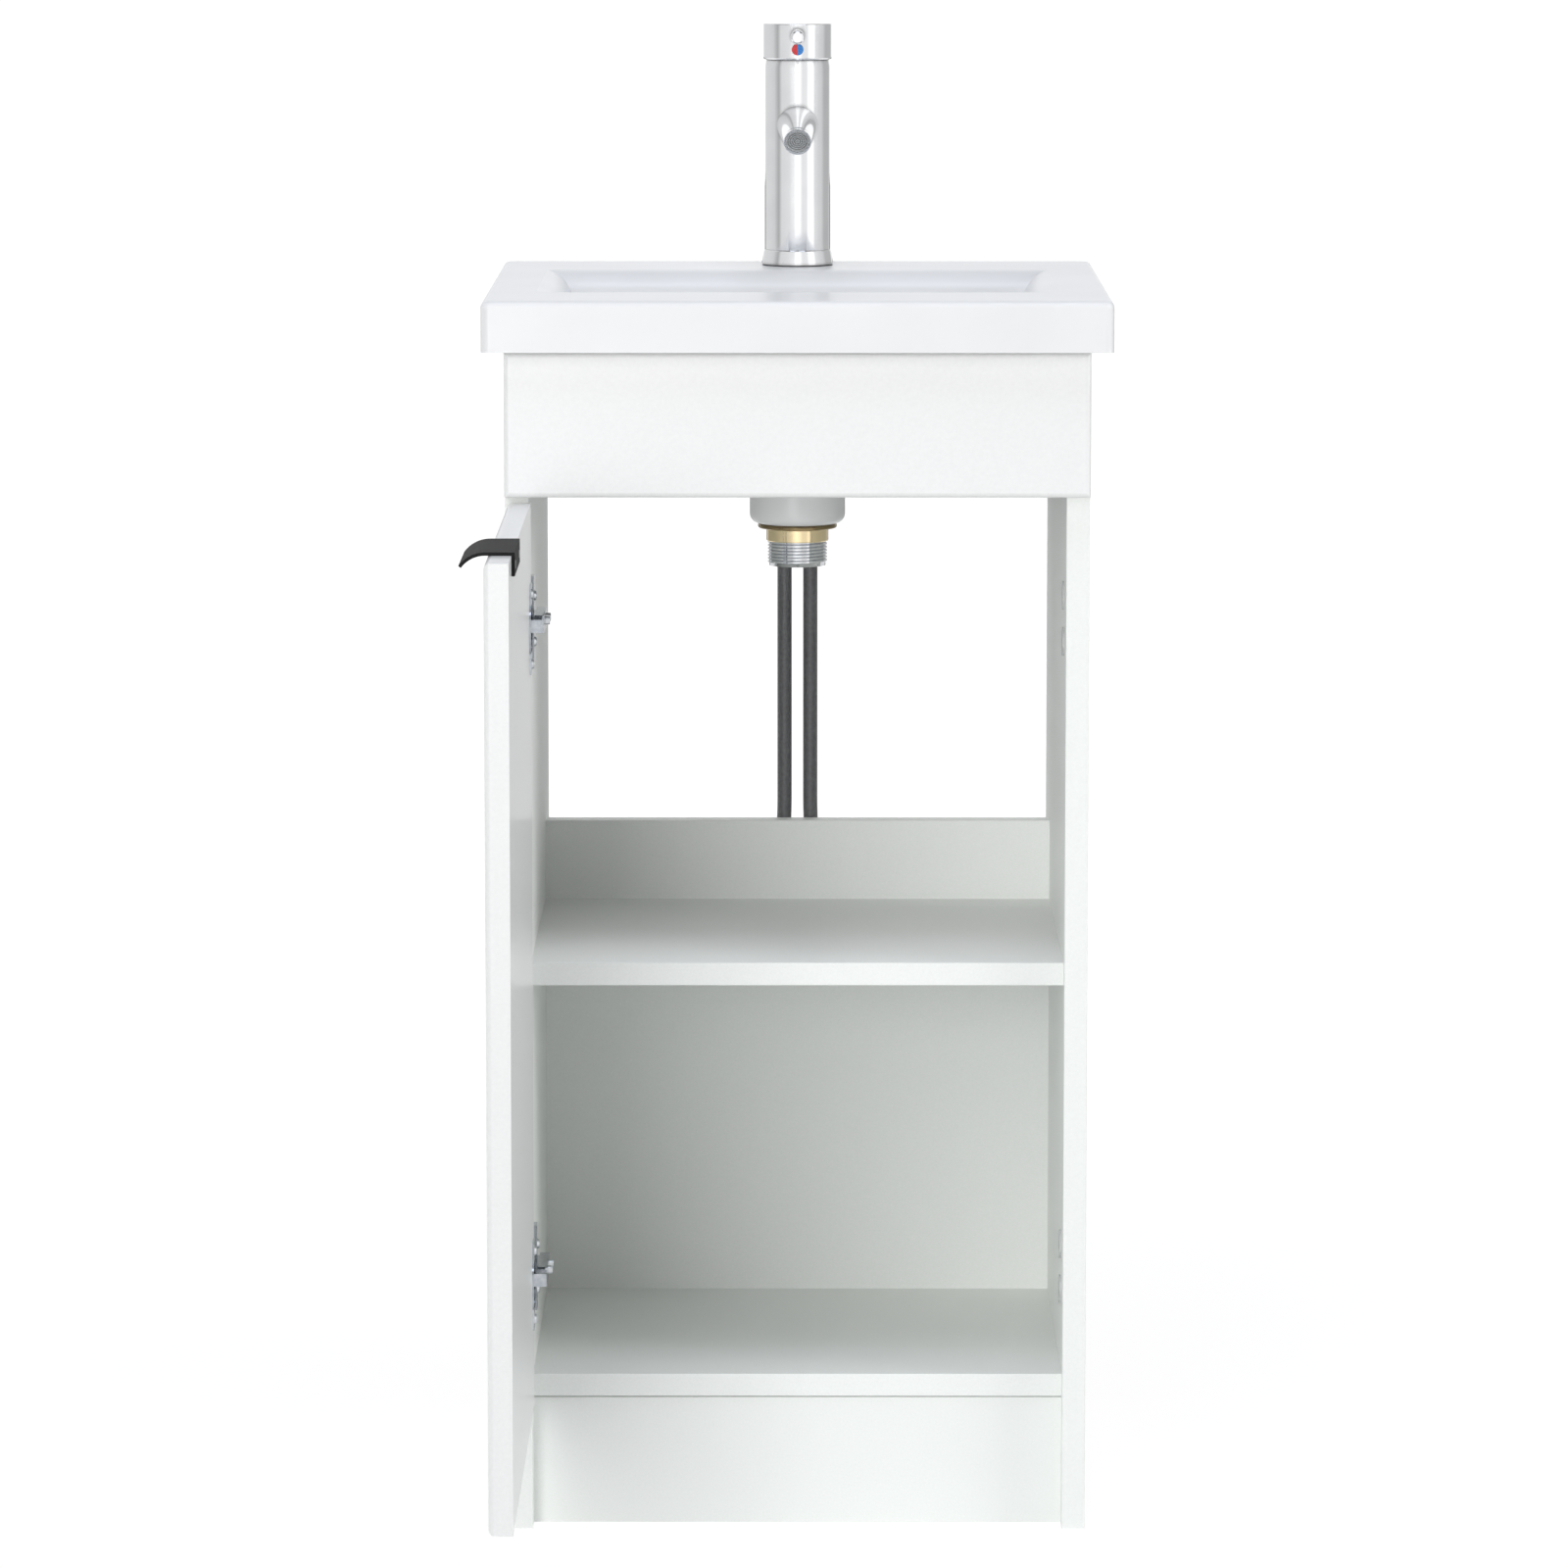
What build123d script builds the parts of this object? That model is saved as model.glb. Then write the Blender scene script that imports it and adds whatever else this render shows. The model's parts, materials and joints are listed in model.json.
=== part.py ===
"""Bathroom vanity cabinet: carcass, basin, mixer tap and one hinged door, drawn with the door open."""
import os
from math import atan2, cos, degrees, pi, radians, sin, tan

from build123d import *

os.makedirs("parts", exist_ok=True)

# Carcass boards
board = 16.0
carcass_width = 400.0
carcass_depth = 395.0
carcass_height = 822.0
bottom_height = 90.0
plinth_top_gap = 0.8
plinth_setback = 20.0
shelf_height = 380.0
board_setback = 18.0
service_depth = 65.0
back_panel_above_shelf = 58.0
fascia_drop = 100.0
fascia_top_gap = 1.0
front_edge_radius = 3.5
board_edge_radius = 0.8
rear_rail_height = 100.0
wall_hole_radius = 3.0
wall_hole_spacing = 250.0

# Dowels and fascia brackets
dowel_radius = 4.0
dowel_length = 30.0
dowel_in_side = 10.0
dowel_clearance = 0.1
dowel_end_inset = 40.0
dowel_shares = (0.25, 0.75)
bracket_leg = 22.0
bracket_tall = 40.0
bracket_sheet = 2.0
bracket_drop = 30.0

# Basin, sized from the carcass it sits on
basin_overhang = 30.0
basin_side_overhang = 15.0
rim_height = 35.0
basin_corner_radius = 6.0
basin_edge_radius = 4.5
side_rim = 28.5
front_rim = 83.0
rear_deck = 95.0
bowl_depth = 122.0
bowl_lean = 10.0
bowl_wall = 9.0
bowl_outer_corner = 12.0
bowl_lip_radius = 22.0
bowl_lip_break = 8.0
bowl_lip_overrun = 20.0
bowl_floor_radius = 20.0
tap_hole_radius = 17.5
tap_hole_from_rear = 44.0
deck_thickness = 14.0
deck_pocket_inset = 45.0
deck_pocket_length = 58.0
deck_pocket_behind_tap = 23.2
waste_behind_middle = 5.5
boss_wall = 11.45
boss_drop = 49.6
boss_edge_radius = 7.0
overflow_drop = 45.0
overflow_radius = 11.0
overflow_depth = 14.0
overflow_duct_width = 34.0
overflow_duct_depth = 24.0
overflow_ring_lip = 4.0
overflow_ring_thick = 1.5

# Waste, sized from its threaded tail
tail_radius = 20.95
tail_wall = 3.4
tail_below_boss = 29.9
tail_groove_width = 1.0
tail_groove_depth = 0.4
waste_hole_clearance = 1.3
waste_flange_reach = 10.05
waste_flange_thick = 2.5
waste_seal_thick = 2.0
nut_flange_reach = 7.05
nut_flange_thick = 3.5
nut_flange_edge = 1.1
nut_wall = 0.7
nut_corner_step = 0.25
nut_height = 9.0
nut_sides = 8
thread_clearance = 0.05
slot_width = 9.0
slot_height = 14.0
plug_reach = 4.05
plug_thick = 5.0
plug_edge_radius = 3.0
plug_seat_gap = 0.3
plug_stem_radius = 4.0
plug_stem_length = 40.0
spider_hub_wall = 4.0
spider_height = 10.0
spider_arm = 4.0
running_clearance = 0.05

# Tap body
body_radius = 23.75
body_height = 142.0
base_ring_wall = 2.15
base_ring_height = 11.5
base_gasket = 1.0
base_ring_bevel = 2.0
base_ring_bevel_run = 1.5
spout_drop = 39.0
spout_root_radius = 14.5
spout_tip_radius = 9.7
spout_reach = 85.0
spout_tilt = 4.5
spout_face_turn = 28.0
aerator_rim = 1.0
aerator_depth = 6.0
body_wall = 6.15
cartridge_bottom = 26.0
cartridge_clearance = 0.1
dome_height = 11.0
dome_opening = 13.0

# Tap lever
cap_overhang = 1.25
cap_gap = 7.0
cap_dome_clearance = 0.36
cap_height = 26.0
cap_roof = 14.0
cap_edge = 0.8
cap_lower_edge = 1.6
carrier_radius = 8.9
carrier_bore_clearance = 0.05
carrier_web = 4.0
carrier_above_pivot = 4.5
stem_width = 5.0
stem_depth = 7.0
stem_below_pivot = 6.0
stem_in_roof = 8.0
stem_clearance = 0.15
pivot_pin_radius = 1.5
pivot_pin_length = 15.0
lever_radius = 5.0
lever_end_radius = 2.0
lever_length = 50.0
lever_socket = 10.0
lever_below_top = 8.0
dot_radius = 4.15
dot_below_top = 18.3
dot_inset = 1.2
dot_proud = 0.15
dot_clearance = 0.05

# Tap fixing under the deck
stud_radius = 4.0
stud_hole_wall = 1.0
stud_in_body = 14.0
stud_tail = 15.0
horseshoe_reach = 3.0
horseshoe_leg = 4.0
horseshoe_hose_gap = 0.4
horseshoe_rubber = 3.0
horseshoe_steel = 2.0
stud_nut_flats = 13.0
stud_nut_height = 8.0
hex_sides = 6

# Hoses
hose_radius = 5.25
hose_spacing = 18.8
hose_nipple_radius = 4.0
hose_nipple_in_body = 12.0
hose_nipple_length = 13.0
ferrule_wall = 0.95
ferrule_length = 24.0
hose_straight = 381.0
hose_spread = 55.0
hose_tail = 45.0
hose_bend_share = 0.45
hose_nut_wall = 2.7
hose_nut_gap = 8.0
hose_nut_height = 20.0
hose_nut_bore = 9.3
hose_nut_bore_depth = 13.0

# Door and its hinges
door_top_gap = 4.5
door_thick = 16.0
door_edge_radius = 4.0
door_overlay = 14.3
door_free_reveal = 1.7
door_gap = 2.8
pin_from_edge = 7.0
pin_depth = 9.0
hinge_from_top = 84.0
hinge_from_bottom = 88.5
cup_radius = 17.4
cup_bore_clearance = 0.1
cup_wall = 0.8
cup_depth = 12.4
cup_edge_distance = 3.1
cup_rim = 1.2
cup_rim_overlap = 1.3
cup_wing_end = 7.0
cup_wing_width = 14.0
cup_wing_shift = 2.0
cup_screw_spacing = 48.0
hinge_pin_radius = 1.2
hinge_pin_clearance = 0.02
ear_clearance = 0.3
ear_thick = 1.8
ear_reach = 2.0
knuckle_wall = 0.7
knuckle_height = 9.0
neck_thick = 1.8
neck_shift = 0.5
arm_standoff = 9.0
arm_web = 1.6
arm_height = 12.0
arm_flange = 1.5
arm_flange_depth = 5.2
arm_flange_start = 4.0
arm_rear = 56.0
plate_thick = 2.5
plate_hole_setback = 37.0
plate_hole_spacing = 32.0
plate_wing_end = 14.0
plate_wing_width = 14.0
plate_rib_height = 8.0
plate_rib_front = 18.0
screw_head_radius = 3.6
screw_head_thick = 1.6
screw_shank_radius = 2.4
screw_length = 11.0
screw_hole_clearance = 0.1
adjuster_head_radius = 3.0
adjuster_head_thick = 3.0
adjuster_setbacks = (25.0, 46.0)
cap_disc_radius = 10.0
cap_disc_thick = 1.4
cap_stem_length = 9.0

# Door pull
pull_from_edge = 49.0
pull_length = 88.0
pull_thick = 2.2
pull_tab = 15.4
pull_flat = 6.7
pull_arc_radius = 13.5
pull_arc_angle = 65.0
pull_tip = 2.0
pull_screw_inset = 12.0

# Places that follow from the sizes above, with Y = 0 at mid-plinth and Z = 0 on the floor
inner_half = carcass_width / 2 - board
front_y = -(plinth_setback + board / 2)
rear_y = front_y + carcass_depth
plinth_height = bottom_height - plinth_top_gap
board_front_y = front_y + board_setback
back_rear_y = rear_y - service_depth
back_front_y = back_rear_y - board
back_panel_top = shelf_height + board + back_panel_above_shelf
rail_front_y = rear_y - board
rail_bottom = carcass_height - rear_rail_height
fascia_bottom = carcass_height - fascia_drop
basin_width = carcass_width + 2 * basin_side_overhang
basin_depth = carcass_depth + basin_overhang
basin_front_y = front_y - basin_overhang
basin_top = carcass_height + rim_height
bowl_width = basin_width - 2 * side_rim
bowl_front_y = basin_front_y + front_rim
bowl_length = basin_depth - front_rim - rear_deck
bowl_mid_y = bowl_front_y + bowl_length / 2
bowl_floor = basin_top - bowl_depth
boss_bottom = bowl_floor - boss_drop
boss_radius = tail_radius + waste_hole_clearance + boss_wall
waste_y = bowl_mid_y + waste_behind_middle
tail_bottom = boss_bottom - tail_below_boss
waste_flange_radius = tail_radius + waste_flange_reach
plug_radius = tail_radius + plug_reach
nut_bore = tail_radius + thread_clearance
nut_flange_radius = tail_radius + nut_flange_reach
nut_flat_radius = nut_bore + nut_wall
nut_bottom = boss_bottom - nut_flange_thick - nut_height
tap_y = rear_y - tap_hole_from_rear
tap_foot = basin_top + base_gasket
pivot_z = basin_top + body_height
base_ring_radius = body_radius + base_ring_wall
aerator_radius = spout_tip_radius - aerator_rim
cartridge_radius = body_radius - body_wall - cartridge_clearance
cap_radius = body_radius + cap_overhang
cap_bore = (body_radius**2 - cap_gap**2) ** 0.5 + cap_dome_clearance
cap_bottom = pivot_z + cap_gap
cap_top = cap_bottom + cap_height
stud_y = tap_y + tap_hole_radius - stud_radius - stud_hole_wall
ferrule_radius = hose_radius + ferrule_wall
horseshoe_radius = tap_hole_radius + horseshoe_reach
hose_nut_flats = 2 * (hose_nut_bore + hose_nut_wall)
hose_end_spacing = hose_nut_flats + hose_nut_gap
door_bottom = bottom_height
door_top = fascia_bottom - door_top_gap
door_width = inner_half + door_overlay + carcass_width / 2 - door_free_reveal
hinge_heights = (door_bottom + hinge_from_bottom, door_top - hinge_from_top)
hinge_x = -(inner_half + door_overlay) + pin_from_edge
hinge_y = front_y - door_gap - pin_depth
door_inner_x = hinge_x + pin_depth
door_outer_x = door_inner_x - door_thick
door_near_y = hinge_y + pin_from_edge
door_free_y = door_near_y - door_width
cup_y = door_near_y - cup_edge_distance - cup_radius
cup_wing_length = cup_screw_spacing + 2 * cup_wing_end
plate_wing_length = plate_hole_spacing + 2 * plate_wing_end
plate_screw_y = front_y + plate_hole_setback
pull_screw_spacing = pull_length - 2 * pull_screw_inset
pull_head_seat = pull_thick - screw_head_thick
screw_hole = screw_shank_radius + screw_hole_clearance


def block(low, high, mode=Mode.ADD):
    """A box between two corners."""
    middle = [(a + b) / 2 for a, b in zip(low, high)]
    size = [b - a for a, b in zip(low, high)]
    with Locations(tuple(middle)):
        Box(*size, mode=mode)


def rod(foot, direction, radius, length, mode=Mode.ADD):
    """A round bar from a foot point along a direction."""
    with Locations(Plane(origin=foot, z_dir=direction)):
        Cylinder(radius, length, align=(Align.CENTER, Align.CENTER, Align.MIN), mode=mode)


def finish(builder, name):
    """Label a finished piece and write it out."""
    builder.part.label = name
    export_step(builder.part, f"parts/{name}.step")


# Dowel seats as (y, z) on each board's end, grouped by board
plinth_seats = [(0, plinth_height * share) for share in dowel_shares]
board_seat_ys = (board_front_y + dowel_end_inset, back_front_y - dowel_end_inset)
bottom_seats = [(y, bottom_height + board / 2) for y in board_seat_ys]
shelf_seats = [(y, shelf_height + board / 2) for y in board_seat_ys]
back_mid_y = (back_front_y + back_rear_y) / 2
back_seats = [(back_mid_y, z) for z in (bottom_height + dowel_end_inset, back_panel_top - dowel_end_inset)]
rail_mid_y = (rail_front_y + rear_y) / 2
rail_seats = [(rail_mid_y, rail_bottom + rear_rail_height * share) for share in dowel_shares]
all_seats = plinth_seats + bottom_seats + shelf_seats + back_seats + rail_seats


def drill_dowel_seats(seats, depth, sides=(-1, 1)):
    """Blind dowel holes that start on the inner faces of the side panels."""
    for side in sides:
        for y, z in seats:
            with Locations(Location((side * inner_half, y, z), (0, 90, 0))):
                Cylinder(dowel_radius + dowel_clearance, 2 * (depth + dowel_clearance), mode=Mode.SUBTRACT)


# Side panels: the left one takes the hinge plates, the right one their blanked spare holes
for side, name in ((-1, "left_side_panel"), (1, "right_side_panel")):
    with BuildPart() as side_panel:
        inner_x = side * inner_half
        outer_x = side * carcass_width / 2
        block((min(inner_x, outer_x), front_y, 0), (max(inner_x, outer_x), rear_y, carcass_height))
        drill_dowel_seats(all_seats, dowel_in_side, (side,))
        depth = screw_length if side < 0 else cap_stem_length
        for hinge_z in hinge_heights:
            for step in (-plate_hole_spacing / 2, plate_hole_spacing / 2):
                mouth = (inner_x, plate_screw_y, hinge_z + step)
                rod(mouth, (side, 0, 0), screw_hole, depth, Mode.SUBTRACT)
        fillet(side_panel.faces().sort_by(Axis.Y)[0].edges().filter_by(Axis.Z), board_edge_radius)
    finish(side_panel, name)

# Bottom panel and fixed shelf share one outline
for height, seats, name in (
    (bottom_height, bottom_seats, "bottom_panel"),
    (shelf_height, shelf_seats, "shelf"),
):
    with BuildPart() as level_board:
        block((-inner_half, board_front_y, height), (inner_half, back_front_y, height + board))
        drill_dowel_seats(seats, dowel_length - dowel_in_side)
        fillet(level_board.faces().sort_by(Axis.Y)[0].edges().filter_by(Axis.X), board_edge_radius)
    finish(level_board, name)

# Half-height back panel, set forward to leave a service void for pipes
with BuildPart() as back_panel:
    block((-inner_half, back_front_y, bottom_height), (inner_half, back_rear_y, back_panel_top))
    drill_dowel_seats(back_seats, dowel_length - dowel_in_side)
    fillet(back_panel.faces().sort_by(Axis.Z)[-1].edges().filter_by(Axis.X), board_edge_radius)
finish(back_panel, "back_panel")

# Recessed plinth that stands on the floor
with BuildPart() as plinth:
    block((-inner_half, -board / 2, 0), (inner_half, board / 2, plinth_height))
    drill_dowel_seats(plinth_seats, dowel_length - dowel_in_side)
    fillet(plinth.faces().sort_by(Axis.Z)[-1].edges().filter_by(Axis.X), board_edge_radius)
finish(plinth, "plinth")

# Rear rail with the two wall-fixing holes
with BuildPart() as rear_rail:
    block((-inner_half, rail_front_y, rail_bottom), (inner_half, rear_y, carcass_height))
    drill_dowel_seats(rail_seats, dowel_length - dowel_in_side)
    for hole_x in (-wall_hole_spacing / 2, wall_hole_spacing / 2):
        foot = (hole_x, rail_front_y, rail_bottom + rear_rail_height / 2)
        rod(foot, (0, 1, 0), wall_hole_radius, board, Mode.SUBTRACT)
finish(rear_rail, "rear_rail")

# Wooden dowels in every board joint
with BuildPart() as dowels:
    for side in (-1, 1):
        for y, z in all_seats:
            rod((side * (inner_half + dowel_in_side), y, z), (-side, 0, 0), dowel_radius, dowel_length)
finish(dowels, "dowels")

# Fixed fascia over the front edges of the side panels, rounded round its face
with BuildPart() as fascia:
    fascia_half = carcass_width / 2
    fascia_top = carcass_height - fascia_top_gap
    block((-fascia_half, front_y - board, fascia_bottom), (fascia_half, front_y, fascia_top))
    fillet(fascia.faces().sort_by(Axis.Y)[0].edges(), front_edge_radius)
finish(fascia, "fascia")

# Steel corner brackets that hold the fascia to the side panels
with BuildPart() as fascia_brackets:
    bracket_top = carcass_height - bracket_drop
    for side in (-1, 1):
        corner_x = side * inner_half
        for leg_x, leg_y in ((bracket_leg, bracket_sheet), (bracket_sheet, bracket_leg)):
            far_x = corner_x - side * leg_x
            block(
                (min(corner_x, far_x), front_y, bracket_top - bracket_tall),
                (max(corner_x, far_x), front_y + leg_y, bracket_top),
            )
finish(fascia_brackets, "fascia_brackets")

# Ceramic basin: rim slab, bowl with a rolled lip and mitred corners, waste boss, overflow duct and tap deck
lean = radians(bowl_lean)
lip_break = radians(bowl_lip_break)
lip_run = bowl_lip_radius * (sin(lip_break) + cos(lean))
lip_drop = bowl_lip_radius * (cos(lip_break) - sin(lean))
bowl_rear_y = bowl_front_y + bowl_length


def wall_inset(height):
    """How far the bowl's wall stands in from its rim outline at a height below the lip."""
    return lip_run + (basin_top - lip_drop - height) * tan(lean)


def bowl_profile(plane, half):
    """Cross-section of the hollow: rolled lips, leaning walls and a rounded floor."""
    with BuildSketch(plane) as section:
        with BuildLine():
            for side in (-1, 1):
                rim = (side * half, basin_top)
                over_x = side * (half + bowl_lip_overrun * cos(lip_break))
                over_z = basin_top + bowl_lip_overrun * sin(lip_break)
                roll_x = side * (half - bowl_lip_radius * sin(lip_break))
                roll_z = basin_top - bowl_lip_radius * cos(lip_break)
                turn = 90 + bowl_lip_break - bowl_lean
                first = bowl_lean if side < 0 else 90 - bowl_lip_break
                wall_top = (side * (half - lip_run), basin_top - lip_drop)
                wall_foot = (side * (half - wall_inset(bowl_floor)), bowl_floor)
                Line((0, over_z), (over_x, over_z))
                Line((over_x, over_z), rim)
                CenterArc((roll_x, roll_z), bowl_lip_radius, first, turn)
                Line(wall_top, wall_foot)
                Line(wall_foot, (0, bowl_floor))
        make_face()
        low_corners = section.vertices().group_by(Axis.Y)[0]
        fillet([corner for corner in low_corners if abs(corner.X) > half / 2], bowl_floor_radius)
    return section.sketch


def bowl_outside(height, inset):
    """Rounded outline of the bowl's outer skin at a height, drawn in from the rim by an inset."""
    with BuildSketch(Plane.XY.offset(height)) as outline:
        with Locations((0, bowl_mid_y)):
            RectangleRounded(bowl_width - 2 * inset, bowl_length - 2 * inset, bowl_outer_corner)
    return outline.sketch


overflow_z = basin_top - overflow_drop
overflow_y = bowl_rear_y - wall_inset(overflow_z)
overflow_out = (0, -cos(lean), sin(lean))
with BuildPart() as bowl_hollow:
    along = Plane.XZ.offset(-bowl_mid_y)
    extrude(bowl_profile(along, bowl_width / 2), amount=basin_depth)
    across = Plane(origin=(0, bowl_mid_y, 0), x_dir=(0, 1, 0), z_dir=(1, 0, 0))
    extrude(bowl_profile(across, bowl_length / 2), amount=basin_width, both=True, mode=Mode.INTERSECT)
    mirror(about=along)

with BuildPart() as basin:
    with BuildSketch(Plane.XY.offset(carcass_height)):
        with Locations((0, basin_front_y + basin_depth / 2)):
            RectangleRounded(basin_width, basin_depth, basin_corner_radius)
    extrude(amount=rim_height)
    fillet(basin.faces().sort_by(Axis.Z)[-1].edges(), basin_edge_radius)
    outer_rim = bowl_outside(carcass_height, wall_inset(carcass_height) - bowl_wall)
    outer_floor = bowl_outside(bowl_floor - bowl_wall, wall_inset(bowl_floor) - bowl_wall / 2)
    loft([outer_rim, outer_floor])
    rod((0, waste_y, boss_bottom), (0, 0, 1), boss_radius, bowl_floor - bowl_wall / 2 - boss_bottom)
    duct_half = overflow_duct_width / 2
    duct_rear_y = overflow_y + overflow_duct_depth
    duct_front_y = duct_rear_y - 2 * overflow_duct_depth
    block((-duct_half, duct_front_y, bowl_floor), (duct_half, duct_rear_y, carcass_height))
    add(bowl_hollow.part, mode=Mode.SUBTRACT)
    fillet(basin.faces().sort_by(Axis.Z)[0].edges(), boss_edge_radius)
    rod((0, waste_y, boss_bottom), (0, 0, 1), tail_radius + waste_hole_clearance, bowl_depth, Mode.SUBTRACT)
    rod((0, tap_y, carcass_height), (0, 0, 1), tap_hole_radius, rim_height, Mode.SUBTRACT)
    pocket_half = basin_width / 2 - deck_pocket_inset
    pocket_rear_y = tap_y + deck_pocket_behind_tap
    block(
        (-pocket_half, pocket_rear_y - deck_pocket_length, carcass_height),
        (pocket_half, pocket_rear_y, basin_top - deck_thickness),
        Mode.SUBTRACT,
    )
    inward = tuple(-value for value in overflow_out)
    rod((0, overflow_y, overflow_z), inward, overflow_radius, overflow_depth, Mode.SUBTRACT)
finish(basin, "basin")

# Chrome ring pressed into the overflow hole
with BuildPart() as overflow_ring:
    ring_foot = tuple(a + b * overflow_depth / 2 for a, b in zip((0, overflow_y, overflow_z), inward))
    ring_tube = overflow_radius - running_clearance
    rod(ring_foot, overflow_out, ring_tube, overflow_depth / 2)
    rod((0, overflow_y, overflow_z), overflow_out, overflow_radius + overflow_ring_lip, overflow_ring_thick)
    rod(ring_foot, overflow_out, ring_tube - overflow_ring_thick, overflow_depth, Mode.SUBTRACT)
finish(overflow_ring, "overflow_ring")

# Waste body: flange in the bowl, slotted tail with a thread relief inside the nut, and the plug's guide
flange_under = bowl_floor + waste_seal_thick
flange_top = flange_under + waste_flange_thick
tail_bore = tail_radius - tail_wall
spider_top = flange_under - spider_height
with BuildPart() as waste_body:
    relief_top = nut_bottom + tail_groove_width
    rod((0, waste_y, tail_bottom), (0, 0, 1), tail_radius, nut_bottom - tail_bottom)
    rod((0, waste_y, nut_bottom), (0, 0, 1), tail_radius - tail_groove_depth, tail_groove_width)
    rod((0, waste_y, relief_top), (0, 0, 1), tail_radius, flange_under - relief_top)
    rod((0, waste_y, flange_under), (0, 0, 1), waste_flange_radius, waste_flange_thick)
    flange_edge = waste_body.faces().sort_by(Axis.Z)[-1].edges()
    fillet(flange_edge, waste_flange_thick / 2)
    rod((0, waste_y, tail_bottom), (0, 0, 1), tail_bore, flange_top - tail_bottom, Mode.SUBTRACT)
    slot_z = boss_bottom + slot_height
    with Locations((0, waste_y, slot_z)):
        Box(slot_width, 2 * waste_flange_radius, slot_height, mode=Mode.SUBTRACT)
    hub_radius = plug_stem_radius + spider_hub_wall
    rod((0, waste_y, spider_top - spider_height), (0, 0, 1), hub_radius, spider_height)
    with Locations((0, waste_y, spider_top - spider_height / 2)):
        Box(2 * tail_bore + tail_wall, spider_arm, spider_height)
    guide_bore = plug_stem_radius + running_clearance
    rod((0, waste_y, spider_top - spider_height), (0, 0, 1), guide_bore, spider_height, Mode.SUBTRACT)
finish(waste_body, "waste_body")

# Rubber seal under the waste flange
with BuildPart() as waste_seal:
    rod((0, waste_y, bowl_floor), (0, 0, 1), waste_flange_radius - waste_seal_thick, waste_seal_thick)
    rod((0, waste_y, bowl_floor), (0, 0, 1), nut_bore, waste_seal_thick, Mode.SUBTRACT)
finish(waste_seal, "waste_seal")

# Brass flanged back nut that pulls the waste up against the boss
with BuildPart() as waste_back_nut:
    rod((0, waste_y, boss_bottom), (0, 0, -1), nut_flange_radius, nut_flange_thick)
    with BuildSketch(Plane.XY.offset(nut_bottom)):
        with Locations((0, waste_y)):
            RegularPolygon(nut_flat_radius, nut_sides, major_radius=False)
            Circle(nut_flat_radius + nut_corner_step, mode=Mode.INTERSECT)
    extrude(amount=nut_height)
    rod((0, waste_y, nut_bottom), (0, 0, 1), nut_bore, boss_bottom - nut_bottom, Mode.SUBTRACT)
    fillet(waste_back_nut.faces().sort_by(Axis.Z)[-1].edges().sort_by(SortBy.LENGTH)[-1], nut_flange_edge)
finish(waste_back_nut, "waste_back_nut")

# Push plug: a crowned disc over the flange on a stem that slides in the spider
plug_under = flange_top + plug_seat_gap
with BuildPart() as waste_plug:
    rod((0, waste_y, plug_under), (0, 0, 1), plug_radius, plug_thick)
    fillet(waste_plug.faces().sort_by(Axis.Z)[-1].edges(), plug_edge_radius)
    rod((0, waste_y, plug_under), (0, 0, -1), plug_stem_radius, plug_stem_length)
finish(waste_plug, "waste_plug")

# Tap body: round column with a tapered spout, the cartridge seat and the holes in its foot
tap_axis = (0, tap_y)
spout_dir = Vector(0, -cos(radians(spout_tilt)), -sin(radians(spout_tilt)))
spout_root = Vector(0, tap_y, pivot_z - spout_drop)
spout_length = body_radius + spout_reach
spout_end = spout_root + spout_dir * spout_length
face_dir = Vector(0, -cos(radians(spout_face_turn)), -sin(radians(spout_face_turn)))
spout_taper = (spout_root_radius - spout_tip_radius) / spout_reach
cartridge_floor = pivot_z - cartridge_bottom
with BuildPart() as tap_body:
    rod((0, tap_y, tap_foot), (0, 0, 1), body_radius, pivot_z - tap_foot)
    with Locations(Plane(origin=spout_root, z_dir=spout_dir)):
        overrun = spout_length + spout_tip_radius
        root_radius = spout_root_radius + spout_taper * body_radius
        Cone(
            root_radius,
            root_radius - spout_taper * overrun,
            overrun,
            align=(Align.CENTER, Align.CENTER, Align.MIN),
        )
    split(bisect_by=Plane(origin=spout_end, z_dir=face_dir), keep=Keep.BOTTOM)
    aerator_seat = aerator_radius + running_clearance
    rod(spout_end, -face_dir, aerator_seat, aerator_depth, Mode.SUBTRACT)
    seat_radius = cartridge_radius + cartridge_clearance
    rod((0, tap_y, cartridge_floor), (0, 0, 1), seat_radius, cartridge_bottom, Mode.SUBTRACT)
    rod((0, stud_y, tap_foot), (0, 0, 1), stud_radius + running_clearance, stud_in_body, Mode.SUBTRACT)
    for side in (-1, 1):
        foot = (side * hose_spacing / 2, tap_y, tap_foot)
        rod(foot, (0, 0, 1), hose_nipple_radius + running_clearance, hose_nipple_in_body, Mode.SUBTRACT)
finish(tap_body, "tap_body")

# Aerator insert in the spout's end
with BuildPart() as aerator:
    rod(spout_end, -face_dir, aerator_radius, aerator_depth - running_clearance)
finish(aerator, "aerator")

# Base ring on the basin deck, round the gasket under the tap's foot
with BuildPart() as tap_base_ring:
    rod((0, tap_y, basin_top), (0, 0, 1), base_ring_radius, base_ring_height)
    chamfer(tap_base_ring.faces().sort_by(Axis.Z)[-1].edges(), base_ring_bevel, base_ring_bevel_run)
    rod((0, tap_y, basin_top), (0, 0, 1), body_radius + running_clearance, base_ring_height, Mode.SUBTRACT)
finish(tap_base_ring, "tap_base_ring")

with BuildPart() as tap_base_gasket:
    rod((0, tap_y, basin_top), (0, 0, 1), body_radius, base_gasket)
    rod((0, tap_y, basin_top), (0, 0, 1), tap_hole_radius, base_gasket, Mode.SUBTRACT)
finish(tap_base_gasket, "tap_base_gasket")

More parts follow.
